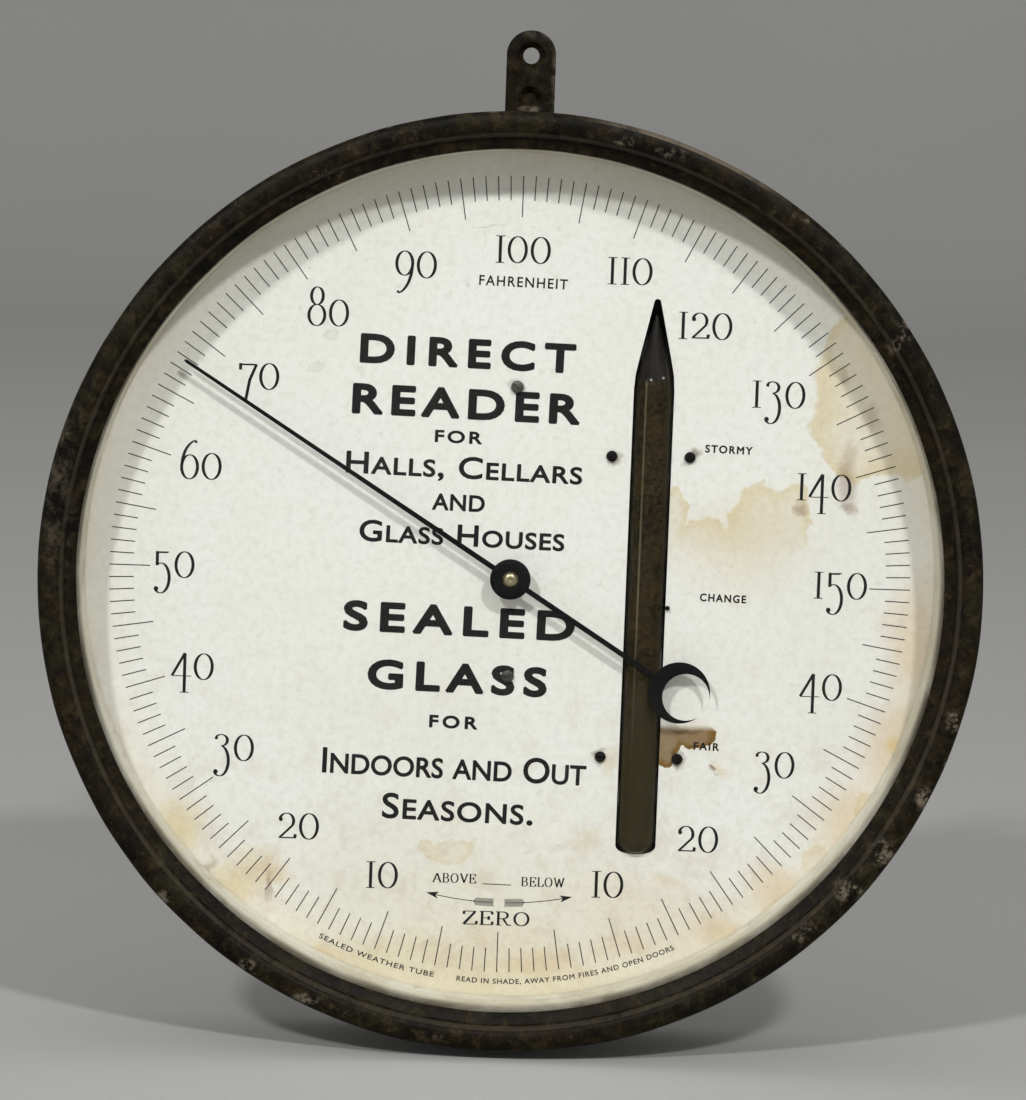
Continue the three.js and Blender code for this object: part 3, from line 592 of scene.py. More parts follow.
def printed_paper(name):
    """Off-white dial paper: brown stains with tide lines, foxing, fibre and a yellowed rim."""
    s = Shader(name)
    x, _, z = s.split(s.place)
    dial = s.combine(x, 0.0, z)
    warp = s.vector("SUBTRACT", s.noise(70, 4, 0.6, at=dial, colour=True), (0.5, 0.5, 0.5))
    fine_warp = s.vector("SUBTRACT", s.noise(330, 3, 0.6, at=dial, colour=True), (0.5, 0.5, 0.5))
    place = s.vector("ADD", dial, s.vector("MULTIPLY", warp, (0.011, 0, 0.011)))
    place = s.vector("ADD", place, s.vector("MULTIPLY", fine_warp, (0.0028, 0, 0.0028)))

    cloud = s.noise(22, 4, 0.55, at=dial)
    fibre = s.noise(1900, 4, 0.65)
    specks = s.noise(260, 5, 0.7, at=dial)
    tone = s.mix(s.rise(cloud, 0.35, 0.7, 1.0), (0.80, 0.80, 0.765), (0.765, 0.76, 0.705))
    tone = s.tint(tone, fibre, 0.35, 0.7, 0.12, (0.62, 0.60, 0.54))
    rim = s.spread(s.radius(), 0.088, 0.103, 0.0, 0.5)
    tone = s.mix(s.times(rim, s.ramp(cloud, [(0.3, 0.4), (0.6, 1.0)])), tone, (0.66, 0.60, 0.46))
    tone = s.tint(tone, specks, 0.62, 0.76, 0.40, (0.55, 0.48, 0.38))
    mottle = s.noise(520, 5, 0.72, at=dial)
    tone = s.tint(tone, mottle, 0.46, 0.62, 0.32, (0.60, 0.58, 0.53))
    dirt = s.times(s.rise(s.noise(115, 6, 0.72, at=dial, twist=0.4), 0.50, 0.68, 0.55),
                   s.spread(z, -85 * MM, 10 * MM, 1.0, 0.12))
    tone = s.mix(dirt, tone, (0.60, 0.53, 0.44))
    tone = s.tint(tone, s.noise(1100, 3, 0.6, at=dial), 0.68, 0.76, 0.45, (0.40, 0.37, 0.32))
    for colour, strength, edge, ellipses, *fades in STAINS:
        nearest = None
        for cx, cz, half_x, half_z, turn in ellipses:
            node = s.new("ShaderNodeMapping", vector_type="TEXTURE")
            s.feed(node.inputs["Vector"], place)
            node.inputs["Location"].default_value = (cx * MM, 0, cz * MM)
            node.inputs["Rotation"].default_value = (0, math.radians(turn), 0)
            node.inputs["Scale"].default_value = (half_x * MM, 1, half_z * MM)
            apart = s.vector("LENGTH", node.outputs[0])
            nearest = apart if nearest is None else s.maths("MINIMUM", nearest, apart)
        amount = s.times(s.ramp(nearest, STAIN_EDGES[edge]), strength)
        for gone, full in fades:
            ends = (0.0, 1.0) if gone < full else (1.0, 0.0)
            amount = s.times(amount, s.spread(z, min(gone, full) * MM, max(gone, full) * MM, *ends))
        tone = s.mix(amount, tone, colour, "MULTIPLY")
    s.set(Base_Color=tone, Specular_IOR_Level=0.25)
    s.set(Roughness=s.spread(fibre, 0.3, 0.7, 0.78, 0.92))
    s.bump(s.maths("ADD", fibre, s.times(cloud, 2.0)), 0.25, 0.06)
    return s.material


def printing_ink(name, black, faded):
    s = Shader(name)
    worn = s.noise(900, 5, 0.75)
    cloud = s.noise(60, 3, 0.6)
    tone = s.mix(s.rise(worn, 0.60, 0.76, 0.5), black, tuple(v * 2.6 for v in faded))
    tone = s.tint(tone, cloud, 0.45, 0.75, 0.5, faded)
    s.set(Base_Color=tone, Specular_IOR_Level=0.2)
    s.set(Roughness=s.spread(worn, 0.3, 0.7, 0.62, 0.8))
    s.bump(worn, 0.2, 0.02)
    return s.material


def painted_card(name):
    s = Shader(name)
    _, y, _ = s.split(s.place)
    cloud = s.noise(48, 4, 0.6, twist=0.5)
    dirt = s.noise(230, 5, 0.7)
    tone = s.mix(s.rise(cloud, 0.4, 0.66, 1.0), (0.68, 0.655, 0.565), (0.51, 0.465, 0.355))
    # Painted shade: the liner darkens towards the glass, in the corner under the bezel's lip where shade
    # falls.
    near_glass = s.spread(y, -41.4 * MM, -34 * MM, 0.95, 0.0)
    painted_corner_shade = s.times(near_glass, s.ramp(cloud, [(0.3, 0.5), (0.6, 1.0)]))
    tone = s.mix(painted_corner_shade, tone, (0.09, 0.075, 0.05))
    tone = s.tint(tone, dirt, 0.58, 0.76, 0.6, (0.24, 0.19, 0.13))
    s.set(Base_Color=tone)
    s.set(Roughness=s.spread(dirt, 0.3, 0.7, 0.55, 0.8))
    s.bump(dirt, 0.3, 0.1)
    return s.material


def storm_liquid(name):
    """Dark brown liquid, cloudy, with painted shade along its sides, a painted highlight streak and bubbles
    painted as bright glints; in the cone a dark film of painted shade with rays painted as reflections.
    """
    s = Shader(name)
    x, _, z = s.split(s.place)
    leaned = s.times(s.maths("SUBTRACT", z, TUBE_MIDDLE_Z * MM), TUBE_LEAN)
    across = s.maths("SUBTRACT", s.maths("SUBTRACT", x, TUBE_X * MM), leaned)
    long = s.noise(240, 4, 0.6, at=s.stretch(1, 1, 0.12))
    mottle = s.noise(900, 6, 0.8)
    clouds = s.noise(110, 5, 0.7, twist=0.5)
    tone = s.mix(s.rise(clouds, 0.42, 0.58, 1.0), (0.0065, 0.005, 0.0018), (0.032, 0.021, 0.0075))
    tone = s.tint(tone, mottle, 0.48, 0.62, 0.8, (0.060, 0.043, 0.017))
    tone = s.mix(s.ramp(mottle, [(0.36, 0.8), (0.48, 0.0)]), tone, (0.004, 0.003, 0.0015))
    low = s.spread(z, -44 * MM, -14 * MM, 0.7, 0.0)
    tone = s.mix(low, tone, (0.050, 0.041, 0.019))
    # Painted shade: the liquid darkens towards the tube's left and right sides.
    painted_side_shade = s.spread(s.maths("ABSOLUTE", across), 3.8 * MM, 4.5 * MM, 0.0, 0.8)
    tone = s.mix(painted_side_shade, tone, (0.006, 0.005, 0.004))
    # Painted highlight: a thin pale vertical line left of the tube's middle, broken up and fading downwards.
    off_highlight = s.maths("ABSOLUTE", s.maths("ADD", across, 1.95 * MM))
    painted_highlight_streak = s.spread(off_highlight, 0.06 * MM, 0.34 * MM, 0.55, 0.0)
    broken = s.times(s.ramp(long, [(0.3, 0.4), (0.6, 1.0)]), s.spread(z, -50 * MM, 0.0, 0.12, 1.0))
    painted_highlight_streak = s.times(painted_highlight_streak, broken)
    tone = s.mix(painted_highlight_streak, tone, (0.26, 0.22, 0.15))
    # In the cone, above the liquid, the piece goes on as a dark film of painted shade, with faint converging
    # rays painted as reflections.
    fan = s.maths("DIVIDE", across, s.maths("SUBTRACT", TUBE_TIP * MM + 0.002, z))
    painted_reflection_rays = s.noise(14, 3, 0.6, at=s.combine(fan, 0.0, s.times(z, 4.0)))
    cone_shade_and_reflections = s.mix(s.rise(painted_reflection_rays, 0.5, 0.72, 0.8), (0.010, 0.008, 0.009), (0.058, 0.048, 0.052))
    tone = s.mix(s.spread(z, 47.4 * MM, 48.2 * MM), tone, cone_shade_and_reflections)
    # Two bubbles at the meniscus, painted as bright glints.
    for bubble_x, bubble_z in ((-0.9, 48.1), (2.0, 48.6)):
        apart = s.vector("SUBTRACT", s.combine(across, 0.0, z), (bubble_x * MM, 0, bubble_z * MM))
        bubble_glint = s.spread(s.vector("LENGTH", apart), 0.1 * MM, 0.42 * MM, 0.8, 0.0)
        tone = s.mix(bubble_glint, tone, (0.62, 0.60, 0.55))
    s.set(Base_Color=tone, Specular_IOR_Level=0.1)
    s.set(Roughness=s.spread(mottle, 0.3, 0.7, 0.35, 0.55))
    return s.material


def make_materials():
    ridge = band(104.6, 105.2, 0.3, 0.09, 0.34)
    lip_edge = band(110.2, 111.2, 0.2, 0.25, 0.54)
    # Painted highlight: a pale streak on the bezel's outer lip at the upper right, where a lamp's reflection
    # falls.
    painted_lip_highlight = both(band(109.7, 111.2, 0.3, 0.5, 0.30), patch(36, -47.5, 100, 34, 8, 18, 1.0, 0.40))
    # Chips and rubs on the bezel's face: x, z, half-widths, share, how broken up.
    rubs = ((-79.2, -76.0, 1.6, 1.4, 1.0, 0.40), (-59.0, -91.3, 1.7, 1.2, 1.0, 0.38),
            (-44.7, -99.0, 3.0, 1.2, 0.9, 0.42), (-34.0, -102.5, 9.0, 2.6, 0.4, 0.50),
            (-17.8, -106.5, 9.0, 2.4, 0.25, 0.50), (104.5, -28.5, 1.6, 2.4, 0.9, 0.42),
            (103.2, -38.6, 1.4, 3.0, 0.9, 0.44), (98.4, -46.9, 1.8, 2.4, 1.0, 0.42),
            (89.6, -60.3, 2.8, 3.0, 1.0, 0.40), (81.6, -69.0, 3.0, 2.4, 1.0, 0.40),
            (72.5, -80.0, 4.0, 2.6, 0.7, 0.46), (89.7, 62.6, 2.0, 2.6, 1.0, 0.42),
            (87.1, 59.1, 1.6, 2.0, 0.9, 0.42), (66.0, 86.0, 5.0, 4.0, 0.6, 0.50),
            (22.7, 104.3, 2.2, 1.0, 0.9, 0.42), (33.3, 101.9, 3.4, 1.2, 0.7, 0.44),
            (-45.6, 94.8, 3.4, 1.6, 0.6, 0.44), (-66.7, 86.2, 3.0, 2.0, 0.6, 0.46))
    chips = [patch(x, -48, z, 1.5 * rx, 6, 1.5 * rz, 0.7 * share, coarse + 0.12, 0.05)
             for x, z, rx, rz, share, coarse in rubs]
    # Worn brass on the bezel's left face, which also stands in for the painted highlight that the left lamp
    # puts there.
    left_rub_and_highlight = patch(-106, -47, 22, 5, 6, 34, 0.22, 0.56, 0.1)
    tab_top = patch(TAB_X + 3, TAB_FRONT, 129, 7, 3, 2.5, 0.35, 0.52)
    tab_edge = patch(TAB_X + TAB_HALF, TAB_FRONT, 118, 1.2, 3, 12, 0.35, 0.54)
    tab_sink = patch(TAB_X, TAB_FRONT + 0.5, 110.4, 3.4, 3, 1.2, 0.6, 0.48)
    return {
        "dark_brass": metal_patina("bezel_patina", [ridge, lip_edge, painted_lip_highlight, left_rub_and_highlight, *chips]),
        "case_brass": metal_patina("case_patina", [patch(-104, -12, 30, 6, 14, 50, 0.6, 0.52),
                                                   patch(0, 0, 0, 90, 3, 90, 0.28, 0.56)]),
        "tab_brass": metal_patina("tab_patina", [tab_top, tab_edge, tab_sink], brown_share=0.3),
        "brass": bright_metal("movement_brass", (0.58, 0.41, 0.18), (0.24, 0.15, 0.06), 0.34, (1, 1, 9)),
        "steel": bright_metal("grey_steel", (0.40, 0.41, 0.41), (0.17, 0.17, 0.15), 0.32, (8, 1, 1)),
        "screw_steel": bright_metal("dial_screw_steel", (0.11, 0.115, 0.10), (0.045, 0.05, 0.04), 0.42),
        "blued_steel": black_steel("black_pointer_steel", (0.004, 0.004, 0.0045), (0.008, 0.008, 0.0085),
                                   0.55),
        "screw_dark": black_steel("dark_screw_steel", (0.007, 0.006, 0.006), (0.022, 0.019, 0.017), 0.45),
        "hub_brass": bright_metal("hub_brass", (0.38, 0.34, 0.22), (0.13, 0.11, 0.07), 0.3),
        "glass": clear_pane("front_glass", (0.985, 0.988, 0.982), 0.03, 0.006, 1.10),
        "tube_glass": clear_pane("storm_tube_glass", (0.94, 0.94, 0.91), 0.12, 0.006, 1.05),
        "storm_liquid": storm_liquid("storm_liquid_brown"),
        "cream_card": painted_card("liner_paint"),
        "dial_paper": printed_paper("stained_dial_paper"),
        "ink": printing_ink("dial_ink", (0.0075, 0.007, 0.0075), (0.022, 0.020, 0.018)),
        "scale_ink": printing_ink("scale_ink", (0.030, 0.027, 0.025), (0.055, 0.048, 0.040)),
    }


# ---- case, bezel and glazing


def drill(r, x, z, sides=32):
    """A rod that cuts a round hole through the case's back or the tab."""
    return turned([(0, -6), (r, -6), (r, 2), (0, 2)], sides, x, z)


def make_case(looks):
    profile = softened([
        (0, 0), (104, 0, 3), (104, -25.5, 0.5), (108.5, -25.5, 0.5), (108.5, -40, 0.4),
        (107.5, -40, 0.3), (107.5, -26.4, 0.4), (103, -26.4, 0.5), (103, -1, 2.4), (0, -1),
    ], 0.5, 5)
    points, faces = turned(profile)
    case = add_mesh("case_drum", points, faces)
    cutters = []
    for i in range(VENTS):
        a = 2 * math.pi * (i + 0.5) / VENTS
        cutters.append(drill(VENT_R, VENT_RING_R * math.cos(a), VENT_RING_R * math.sin(a)))
    cutters += [drill(RIVET_R, TAB_X, z, 24) for z in RIVET_ZS]
    slot_half = TAB_HALF + TAB_GAP
    cutters.append(box(TAB_X - slot_half, TAB_X + slot_half, TAB_FRONT - TAB_GAP, TAB_BACK + TAB_GAP,
                       99, 109))
    carve(case, [joined("case_cutters", cutters)])
    declare(case, "dark_brass", looks["case_brass"], "back_case")

    profile = softened([
        (101.6, -44, 0.2), (101.6, -44.9, 0.3), (103.2, -45.8, 0.5), (104.2, -46.2, 0.25),
        (104.8, -47.9, 0.4), (106, -48.9, 0.8), (108.2, -49.1, 1.2), (109.8, -48.6, 0.8),
        (110.5, -47.6, 0.5), (110.3, -46.2, 0.4), (109.2, -44.6, 0.4), (109.2, -30, 0.2),
        (108.9, -30, 0.2), (108.9, -40.9, 0.3), (106.9, -40.9, 0.3), (106.9, -44, 0.2),
    ], 0.5, 4)
    points, faces = turned(profile, 320)
    bezel = add_mesh("bezel_ring", dented(points, size=13, depth=0.16, seed=4), faces)
    declare(bezel, "dark_brass", looks["dark_brass"], "bezel")

    profile = softened([(0, -43.7), (106, -43.7, 0.35), (106, -41.7, 0.3), (0, -41.7)], 0.3, 3)
    declare(add_mesh("front_glass", *turned(profile)), "glass", looks["glass"], "glass")
    profile = softened([(102.6, -41.4), (106.5, -41.4), (106.5, -40.2), (102.6, -40.2)], 0.3, 3)
    declare(add_mesh("glass_keeper_ring", *turned(profile)), "brass", looks["brass"], "glass_ring")
    profile = softened([(101.4, -41.4), (102.3, -41.4), (102.3, -28.55), (100.6, -28.55),
                        (100.75, -29.3), (101.2, -31)], 0.25, 3)
    points, faces = turned(profile)
    liner = add_mesh("dial_liner", dented(points, size=17, depth=0.15, seed=9), faces)
    declare(liner, "cream_card", looks["cream_card"], "sight_ring")


# ---- dial paper


def window_outline():
    """The pencil-shaped hole that the storm glass sits in."""
    half, top_half = TUBE_R + 0.05, 0.8
    low, tip = TUBE_BOTTOM + 2.2, TUBE_TIP + 0.2
    points = [(top_half * math.cos(math.radians(a)), tip - 0.7 + 0.7 * math.sin(math.radians(a)))
              for a in range(0, 181, 20)]
    side = [(half * 0.83, TUBE_SHOULDER + 3.0), (half * 0.95, TUBE_SHOULDER), (half, TUBE_SHOULDER - 3.6)]
    points += [(-x, z) for x, z in side]
    for i in range(17):
        a = math.pi + math.pi * i / 16
        points.append((half * math.copysign(abs(math.cos(a)) ** 0.7, math.cos(a)), low + 2.1 * math.sin(a)))
    points += side[::-1]
    return [(TUBE_X + x + leaning(z), z) for x, z in points]


def leaning(z):
    return TUBE_LEAN * (z - TUBE_MIDDLE_Z)


def make_paper(looks):
    holes = [window_outline(), circle(0, 0, 4)]
    holes += [circle(x, z, 0.9, 20) for x, z, _ in TUBE_SCREWS.values()]
    holes += [circle(x, z, 1.1, 20) for x, z, _ in DIAL_SCREWS.values()]
    holes.append(circle(*TUBE_PIN, 0.6, 20))
    points, faces = flat_solid([circle(0, 0, PAPER_R, SIDES)], holes, PAPER_FRONT, PAPER_BACK)
    declare(add_mesh("printed_dial", points, faces), "dial_paper", looks["dial_paper"], "dial_paper")


# ---- drawn numerals and letters


def arc(cx, cz, rx, rz, start, end, steps=16):
    out = []
    for i in range(steps + 1):
        a = math.radians(start + (end - start) * i / steps)
        out.append((cx + rx * math.cos(a), cz + rz * math.sin(a)))
    return out


def dot(x, z, r):
    return ("dot", x, z, r)


STEM = [(0.18, 0.03), (0.18, 0.97)]
# Strokes in units of the small numerals' height. The pen is wide on upright strokes.
GLYPHS = {
    "0": (0.78, [arc(0.36, 0.5, 0.29, 0.475, 0, 360, 28)]),
    "1": (0.43, [[(0.20, 0.02), (0.20, 0.98)], [(0.05, 0.98), (0.35, 0.98)], [(0.05, 0.02), (0.35, 0.02)]]),
    "2": (0.74, [arc(0.33, 0.68, 0.24, 0.29, 165, -35, 16) + [(0.10, 0.06)], [(0.07, 0.055), (0.63, 0.055)],
                 [(0.08, 0.07), (0.62, 0.07)], [(0.62, 0.05), (0.64, 0.2)], dot(0.13, 0.74, 0.075)]),
    "3": (0.72, [arc(0.30, 0.76, 0.21, 0.21, 150, -80, 14), arc(0.27, 0.0, 0.29, 0.56, 84, -130, 20),
                 dot(0.13, -0.40, 0.085), dot(0.13, 0.84, 0.06)]),
    "4": (0.76, [[(0.47, 0.98), (0.47, -0.46)], [(0.47, 0.98), (0.04, 0.14)], [(0.04, 0.14), (0.70, 0.14)],
                 [(0.33, -0.46), (0.62, -0.46)]]),
    "5": (0.72, [[(0.15, 0.97), (0.15, 0.45)], [(0.15, 0.95), (0.56, 0.95)], [(0.17, 0.91), (0.50, 0.92)],
                 arc(0.28, -0.01, 0.29, 0.55, 118, -130, 22), dot(0.13, -0.40, 0.085)]),
    "6": (0.74, [arc(0.35, 0.46, 0.27, 0.44, 0, 360, 26), arc(0.66, 0.50, 0.57, 0.96, 175, 103, 16),
                 dot(0.55, 1.38, 0.05)]),
    "7": (0.70, [[(0.08, 0.93), (0.62, 0.93)], [(0.08, 0.90), (0.60, 0.90)], [(0.08, 0.96), (0.08, 0.72)],
                 [(0.62, 0.93), (0.40, 0.35), (0.27, -0.46)]]),
    "8": (0.74, [arc(0.35, 1.10, 0.20, 0.32, 0, 360, 22), arc(0.35, 0.40, 0.27, 0.385, 0, 360, 26)]),
    "9": (0.74, [arc(0.35, 0.54, 0.27, 0.44, 0, 360, 26), arc(0.04, 0.50, 0.57, 1.08, -5, -77, 16),
                 dot(0.15, -0.50, 0.05)]),
    "A": (1.00, [[(0.08, 0.03), (0.50, 0.97)], [(0.50, 0.97), (0.88, 0.03)], [(0.55, 0.9), (0.92, 0.03)],
                 [(0.22, 0.34), (0.76, 0.34)], [(-0.02, 0.03), (0.20, 0.03)], [(0.74, 0.03), (1.02, 0.03)]]),
    "B": (0.86, [STEM, [(0.04, 0.97), (0.45, 0.97)], [(0.04, 0.03), (0.45, 0.03)],
                 [(0.18, 0.51), (0.45, 0.51)], arc(0.42, 0.74, 0.24, 0.23, 90, -90, 12),
                 arc(0.45, 0.27, 0.28, 0.24, 90, -90, 12)]),
    "O": (0.98, [arc(0.46, 0.5, 0.38, 0.475, 0, 360, 30)]),
    "V": (0.94, [[(0.10, 0.97), (0.48, 0.03)], [(0.15, 0.97), (0.50, 0.08)], [(0.48, 0.03), (0.84, 0.97)],
                 [(-0.02, 0.97), (0.24, 0.97)], [(0.72, 0.97), (0.96, 0.97)]]),
    "E": (0.84, [STEM, [(0.04, 0.97), (0.72, 0.97)], [(0.04, 0.03), (0.74, 0.03)],
                 [(0.18, 0.51), (0.55, 0.51)], [(0.72, 0.97), (0.74, 0.76)], [(0.74, 0.03), (0.76, 0.26)],
                 [(0.55, 0.64), (0.55, 0.38)]]),
    "L": (0.78, [STEM, [(0.04, 0.97), (0.34, 0.97)], [(0.04, 0.03), (0.70, 0.03)],
                 [(0.70, 0.03), (0.72, 0.28)]]),
    "W": (1.26, [[(0.10, 0.97), (0.38, 0.03)], [(0.38, 0.03), (0.62, 0.90)], [(0.62, 0.90), (0.88, 0.03)],
                 [(0.88, 0.03), (1.14, 0.97)], [(-0.02, 0.97), (0.24, 0.97)], [(1.02, 0.97), (1.26, 0.97)]]),
    "R": (0.94, [STEM, [(0.04, 0.97), (0.45, 0.97)], [(0.04, 0.03), (0.34, 0.03)],
                 [(0.18, 0.49), (0.45, 0.49)], arc(0.43, 0.73, 0.26, 0.24, 90, -90, 12),
                 [(0.45, 0.49), (0.68, 0.06), (0.90, 0.03)]]),
    "Z": (0.84, [[(0.08, 0.96), (0.72, 0.96)], [(0.72, 0.96), (0.08, 0.03)], [(0.68, 0.94), (0.04, 0.05)],
                 [(0.08, 0.04), (0.76, 0.04)], [(0.08, 0.96), (0.06, 0.74)], [(0.76, 0.03), (0.78, 0.28)]]),
}


def pen_outlines(strokes, scale_x, scale_z, thick, thin):
    """Outlines of strokes drawn with a pen that is thick on uprights and thin on levels."""
    outlines = []
    for stroke in strokes:
        if stroke[0] == "dot":
            _, x, z, r = stroke
            outlines.append(circle(x * scale_x, z * scale_z, r * scale_z, 16))
            continue
        points = [Vector((x * scale_x, z * scale_z)) for x, z in stroke]
        loop = (points[0] - points[-1]).length < 1e-4 and len(points) > 3
        left, right = [], []
        for i, here in enumerate(points):
            before = points[i - 1] if i else (points[-2] if loop else here)
            after = points[i + 1] if i + 1 < len(points) else (points[1] if loop else here)
            along = (after - before).normalized()
            half = 0.5 * (thin + (thick - thin) * abs(along.y) ** 1.6)
            across = Vector((-along.y, along.x)) * half
            left.append(here + across)
            right.append(here - across)
        for i in range(len(points) - 1):
            outlines.append([tuple(p) for p in (left[i], left[i + 1], right[i + 1], right[i])])
    return outlines


def drawn_text(text, x, z, height, thick, thin, width=None, spacing=0.0):
    """Outlines of a word of drawn glyphs centred on x, with the small numerals' middle at z."""
    advance = [GLYPHS[c][0] + spacing for c in text]
    total = sum(advance) - spacing
    scale_x = width / total if width else height * NUMERAL_SPREAD
    start, outlines = x - scale_x * total / 2, []
    for c, step in zip(text, advance):
        for outline in pen_outlines(GLYPHS[c][1], scale_x, height, thick, thin):
            outlines.append([(start + px, z - height / 2 + pz) for px, pz in outline])
        start += step * scale_x
    return outlines


def around(degrees):
    """The direction of a reading on the dial: zero is at the bottom and it runs clockwise."""
    a = math.radians(degrees * 360 / DEGREES_A_TURN)
    return Vector((-math.sin(a), -math.cos(a)))


def make_scale(looks):
    marks = []
    for degree in range(DEGREES_A_TURN):
        out = around(degree)
        across = Vector((-out.y, out.x)) * MARK_WIDTH / 2
        inner = SCALE_R - (MINOR_MARK if degree % 5 else MAJOR_MARK)
        corners = (out * inner - across, out * SCALE_R - across,
                   out * SCALE_R + across, out * inner + across)
        marks.append(flat_solid([[tuple(c) for c in corners]], [], INK_FRONT, INK_BACK))
    declare(joined("scale_marks", marks), "dial_paper", looks["scale_ink"])

    numbers = []
    for value in [*range(10, 151, 10), -10, -20, -30, -40]:
        centre = around(value) * NUMERAL_R + Vector(NUMERAL_SHIFTS.get(value, (0, 0)))
        for_glyph = drawn_text(str(abs(value)), centre.x, centre.y, NUMERAL_HEIGHT,
                                 NUMERAL_THICK, NUMERAL_THIN)
        numbers.append(flat_solid(for_glyph, [], INK_FRONT, INK_BACK))
    declare(joined("scale_numerals", numbers), "dial_paper", looks["ink"])

    words = [
        drawn_text("ZERO", -0.4, -82.0, 3.4, 0.62, 0.2, 16.3, 0.06),
        drawn_text("ABOVE", -10.8, -72.6, 2.3, 0.36, 0.13, 10.4, 0.08),
        drawn_text("BELOW", 10.3, -72.9, 2.3, 0.36, 0.13, 10.4, 0.08),
        [[(-4.0, -73.85), (2.8, -73.95), (2.8, -73.75), (-4.0, -73.65)]],
    ]
    parts = [flat_solid(outlines, [], INK_FRONT, INK_BACK) for outlines in words]
    parts += [flat_solid(arrow(side), [], INK_FRONT, INK_BACK) for side in (-1, 1)]
    declare(joined("zero_words_and_arrows", parts), "dial_paper", looks["ink"])


def arrow(side):
    """A feathered arrow that follows the scale's circle, pointing away from zero."""
    def at(along, off):
        a = along / 78.2
        r = 78.2 - off
        return (side * r * math.sin(a), -r * math.cos(a))
    outlines = []
    shaft = [at(1.2 + 14.5 * i / 8, 0.09) for i in range(9)]
    shaft += [at(15.7 - 14.5 * i / 8, -0.09) for i in range(9)]
    outlines.append(shaft)
    outlines.append([at(14.6, 0.85), at(17.6, 0.0), at(14.6, -0.85), at(15.3, 0.0)])
    for i in range(9):
        start = 1.2 + i * 0.5
        for way in (-1, 1):
            outlines.append([at(start, way * 0.95), at(start + 0.26, way * 0.95),
                             at(start + 0.8, way * 0.05), at(start + 0.54, way * 0.05)])
    return outlines


# Words in the built-in plain face: text, centre x, centre z, width, capital height, how far the
# strokes are swelled, and the letter spacing.
WORDS = [
    ("DIRECT", -11.7, 52.8, 51.0, 7.1, 0.40, 1.38),
    ("READER", -11.7, 40.8, 54.0, 7.3, 0.40, 1.28),
    ("FOR", -13.3, 32.9, 11.2, 3.0, 0.14, 1.25),
    ("Halls, Cellars", -11.7, 25.7, 56.0, 5.3, 0.15, 1.06),
    ("AND", -12.8, 17.3, 12.5, 4.0, 0.14, 1.05),
    ("Glass Houses", -11.7, 9.6, 48.7, 5.2, 0.15, 1.06),
    ("SEALED", -11.7, -10.8, 55.0, 7.3, 0.40, 1.34),
    ("GLASS", -11.7, -24.5, 42.7, 7.2, 0.40, 1.32),
    ("FOR", -12.3, -35.1, 11.5, 3.1, 0.16, 1.35),
    ("Indoors and Out", -11.7, -45.7, 62.9, 6.2, 0.14, 1.0),
    ("Seasons.", -10.6, -55.9, 36.0, 6.2, 0.15, 1.06),
    ("FAHRENHEIT", 0.8, 70.0, 20.9, 2.4, 0.05, 1.2),
    ("STORMY", 50.75, 32.0, 11.2, 1.9, 0.08, 1.25),
    ("CHANGE", 50.7, -3.4, 11.0, 1.9, 0.08, 1.25),
    ("FAIR", 48.1, -39.0, 6.1, 1.9, 0.08, 1.25),
]
SMALL_CAPITAL = 0.78
WORD_TILT = math.radians(-1.1)
# Small words along the dial's lower edge: text, degrees from the bottom, width, capital height.
RIM_WORDS = [("SEALED WEATHER TUBE", -17.4, 29.0, 1.25),
             ("READ IN SHADE, AWAY FROM FIRES AND OPEN DOORS", 10.0, 53.0, 1.25)]
RIM_WORDS_R = 97.2


def word_shape(text, tracking):
    """Faces of a word in its own units, each a loop of points, and its outer edges."""
    curve = bpy.data.curves.new("word", "FONT")
    curve.body = text
    curve.space_character = tracking
    curve.resolution_u = 5
    curve.small_caps_scale = SMALL_CAPITAL
    for letter in curve.body_format:
        letter.use_small_caps = True
    obj = bpy.data.objects.new("word", curve)
    bpy.context.scene.collection.objects.link(obj)
    bpy.context.view_layer.update()
    mesh = bpy.data.meshes.new_from_object(obj.evaluated_get(bpy.context.evaluated_depsgraph_get()))
    bpy.data.objects.remove(obj)
    bm = bmesh.new()
    bm.from_mesh(mesh)
    bmesh.ops.remove_doubles(bm, verts=bm.verts, dist=1e-5)
    loops = [[v.co.xy.copy() for v in f.verts] for f in bm.faces]
    rims = [[v.co.xy.copy() for v in e.verts] for e in bm.edges if e.is_boundary]
    bm.free()
    return loops, rims


def word_parts(text, width, height, swell, tracking, place):
    """A word as a closed plate. Lower case stands for small capitals."""
    loops, rims = word_shape(text, tracking)
    low_x = min(p.x for loop in loops for p in loop)
    high_x = max(p.x for loop in loops for p in loop)
    capital = max(p.y for loop in loops for p in loop)

    def scaled(p):
        return Vector(((width - 2 * swell) * ((p.x - low_x) / (high_x - low_x) - 0.5),
                       (height - 2 * swell) * (p.y / capital - 0.5)))

    outlines = [[scaled(p) for p in loop] for loop in loops]
    for rim in rims:
        a, b = scaled(rim[0]), scaled(rim[1])
        along = (b - a).normalized() * swell
        across = Vector((-along.y, along.x))
        along *= 0.5
        outlines.append([a - along + across, b + along + across, b + along - across, a - along - across])
    return flat_solid([[place(p) for p in outline] for outline in outlines], [], INK_FRONT, INK_BACK)


def tilted_at(x, z):
    """Places a point of a word that stands level, but for the printer's small tilt."""
    c, s = math.cos(WORD_TILT), math.sin(WORD_TILT)
    return lambda p: (x + p.x * c - p.y * s, z + p.x * s + p.y * c)


def bent_at(degrees):
    """Places a point of a word that follows the dial's lower edge."""
    def place(p):
        a = math.radians(degrees) + p.x / RIM_WORDS_R
        r = RIM_WORDS_R - p.y
        return (r * math.sin(a), -r * math.cos(a))
    return place


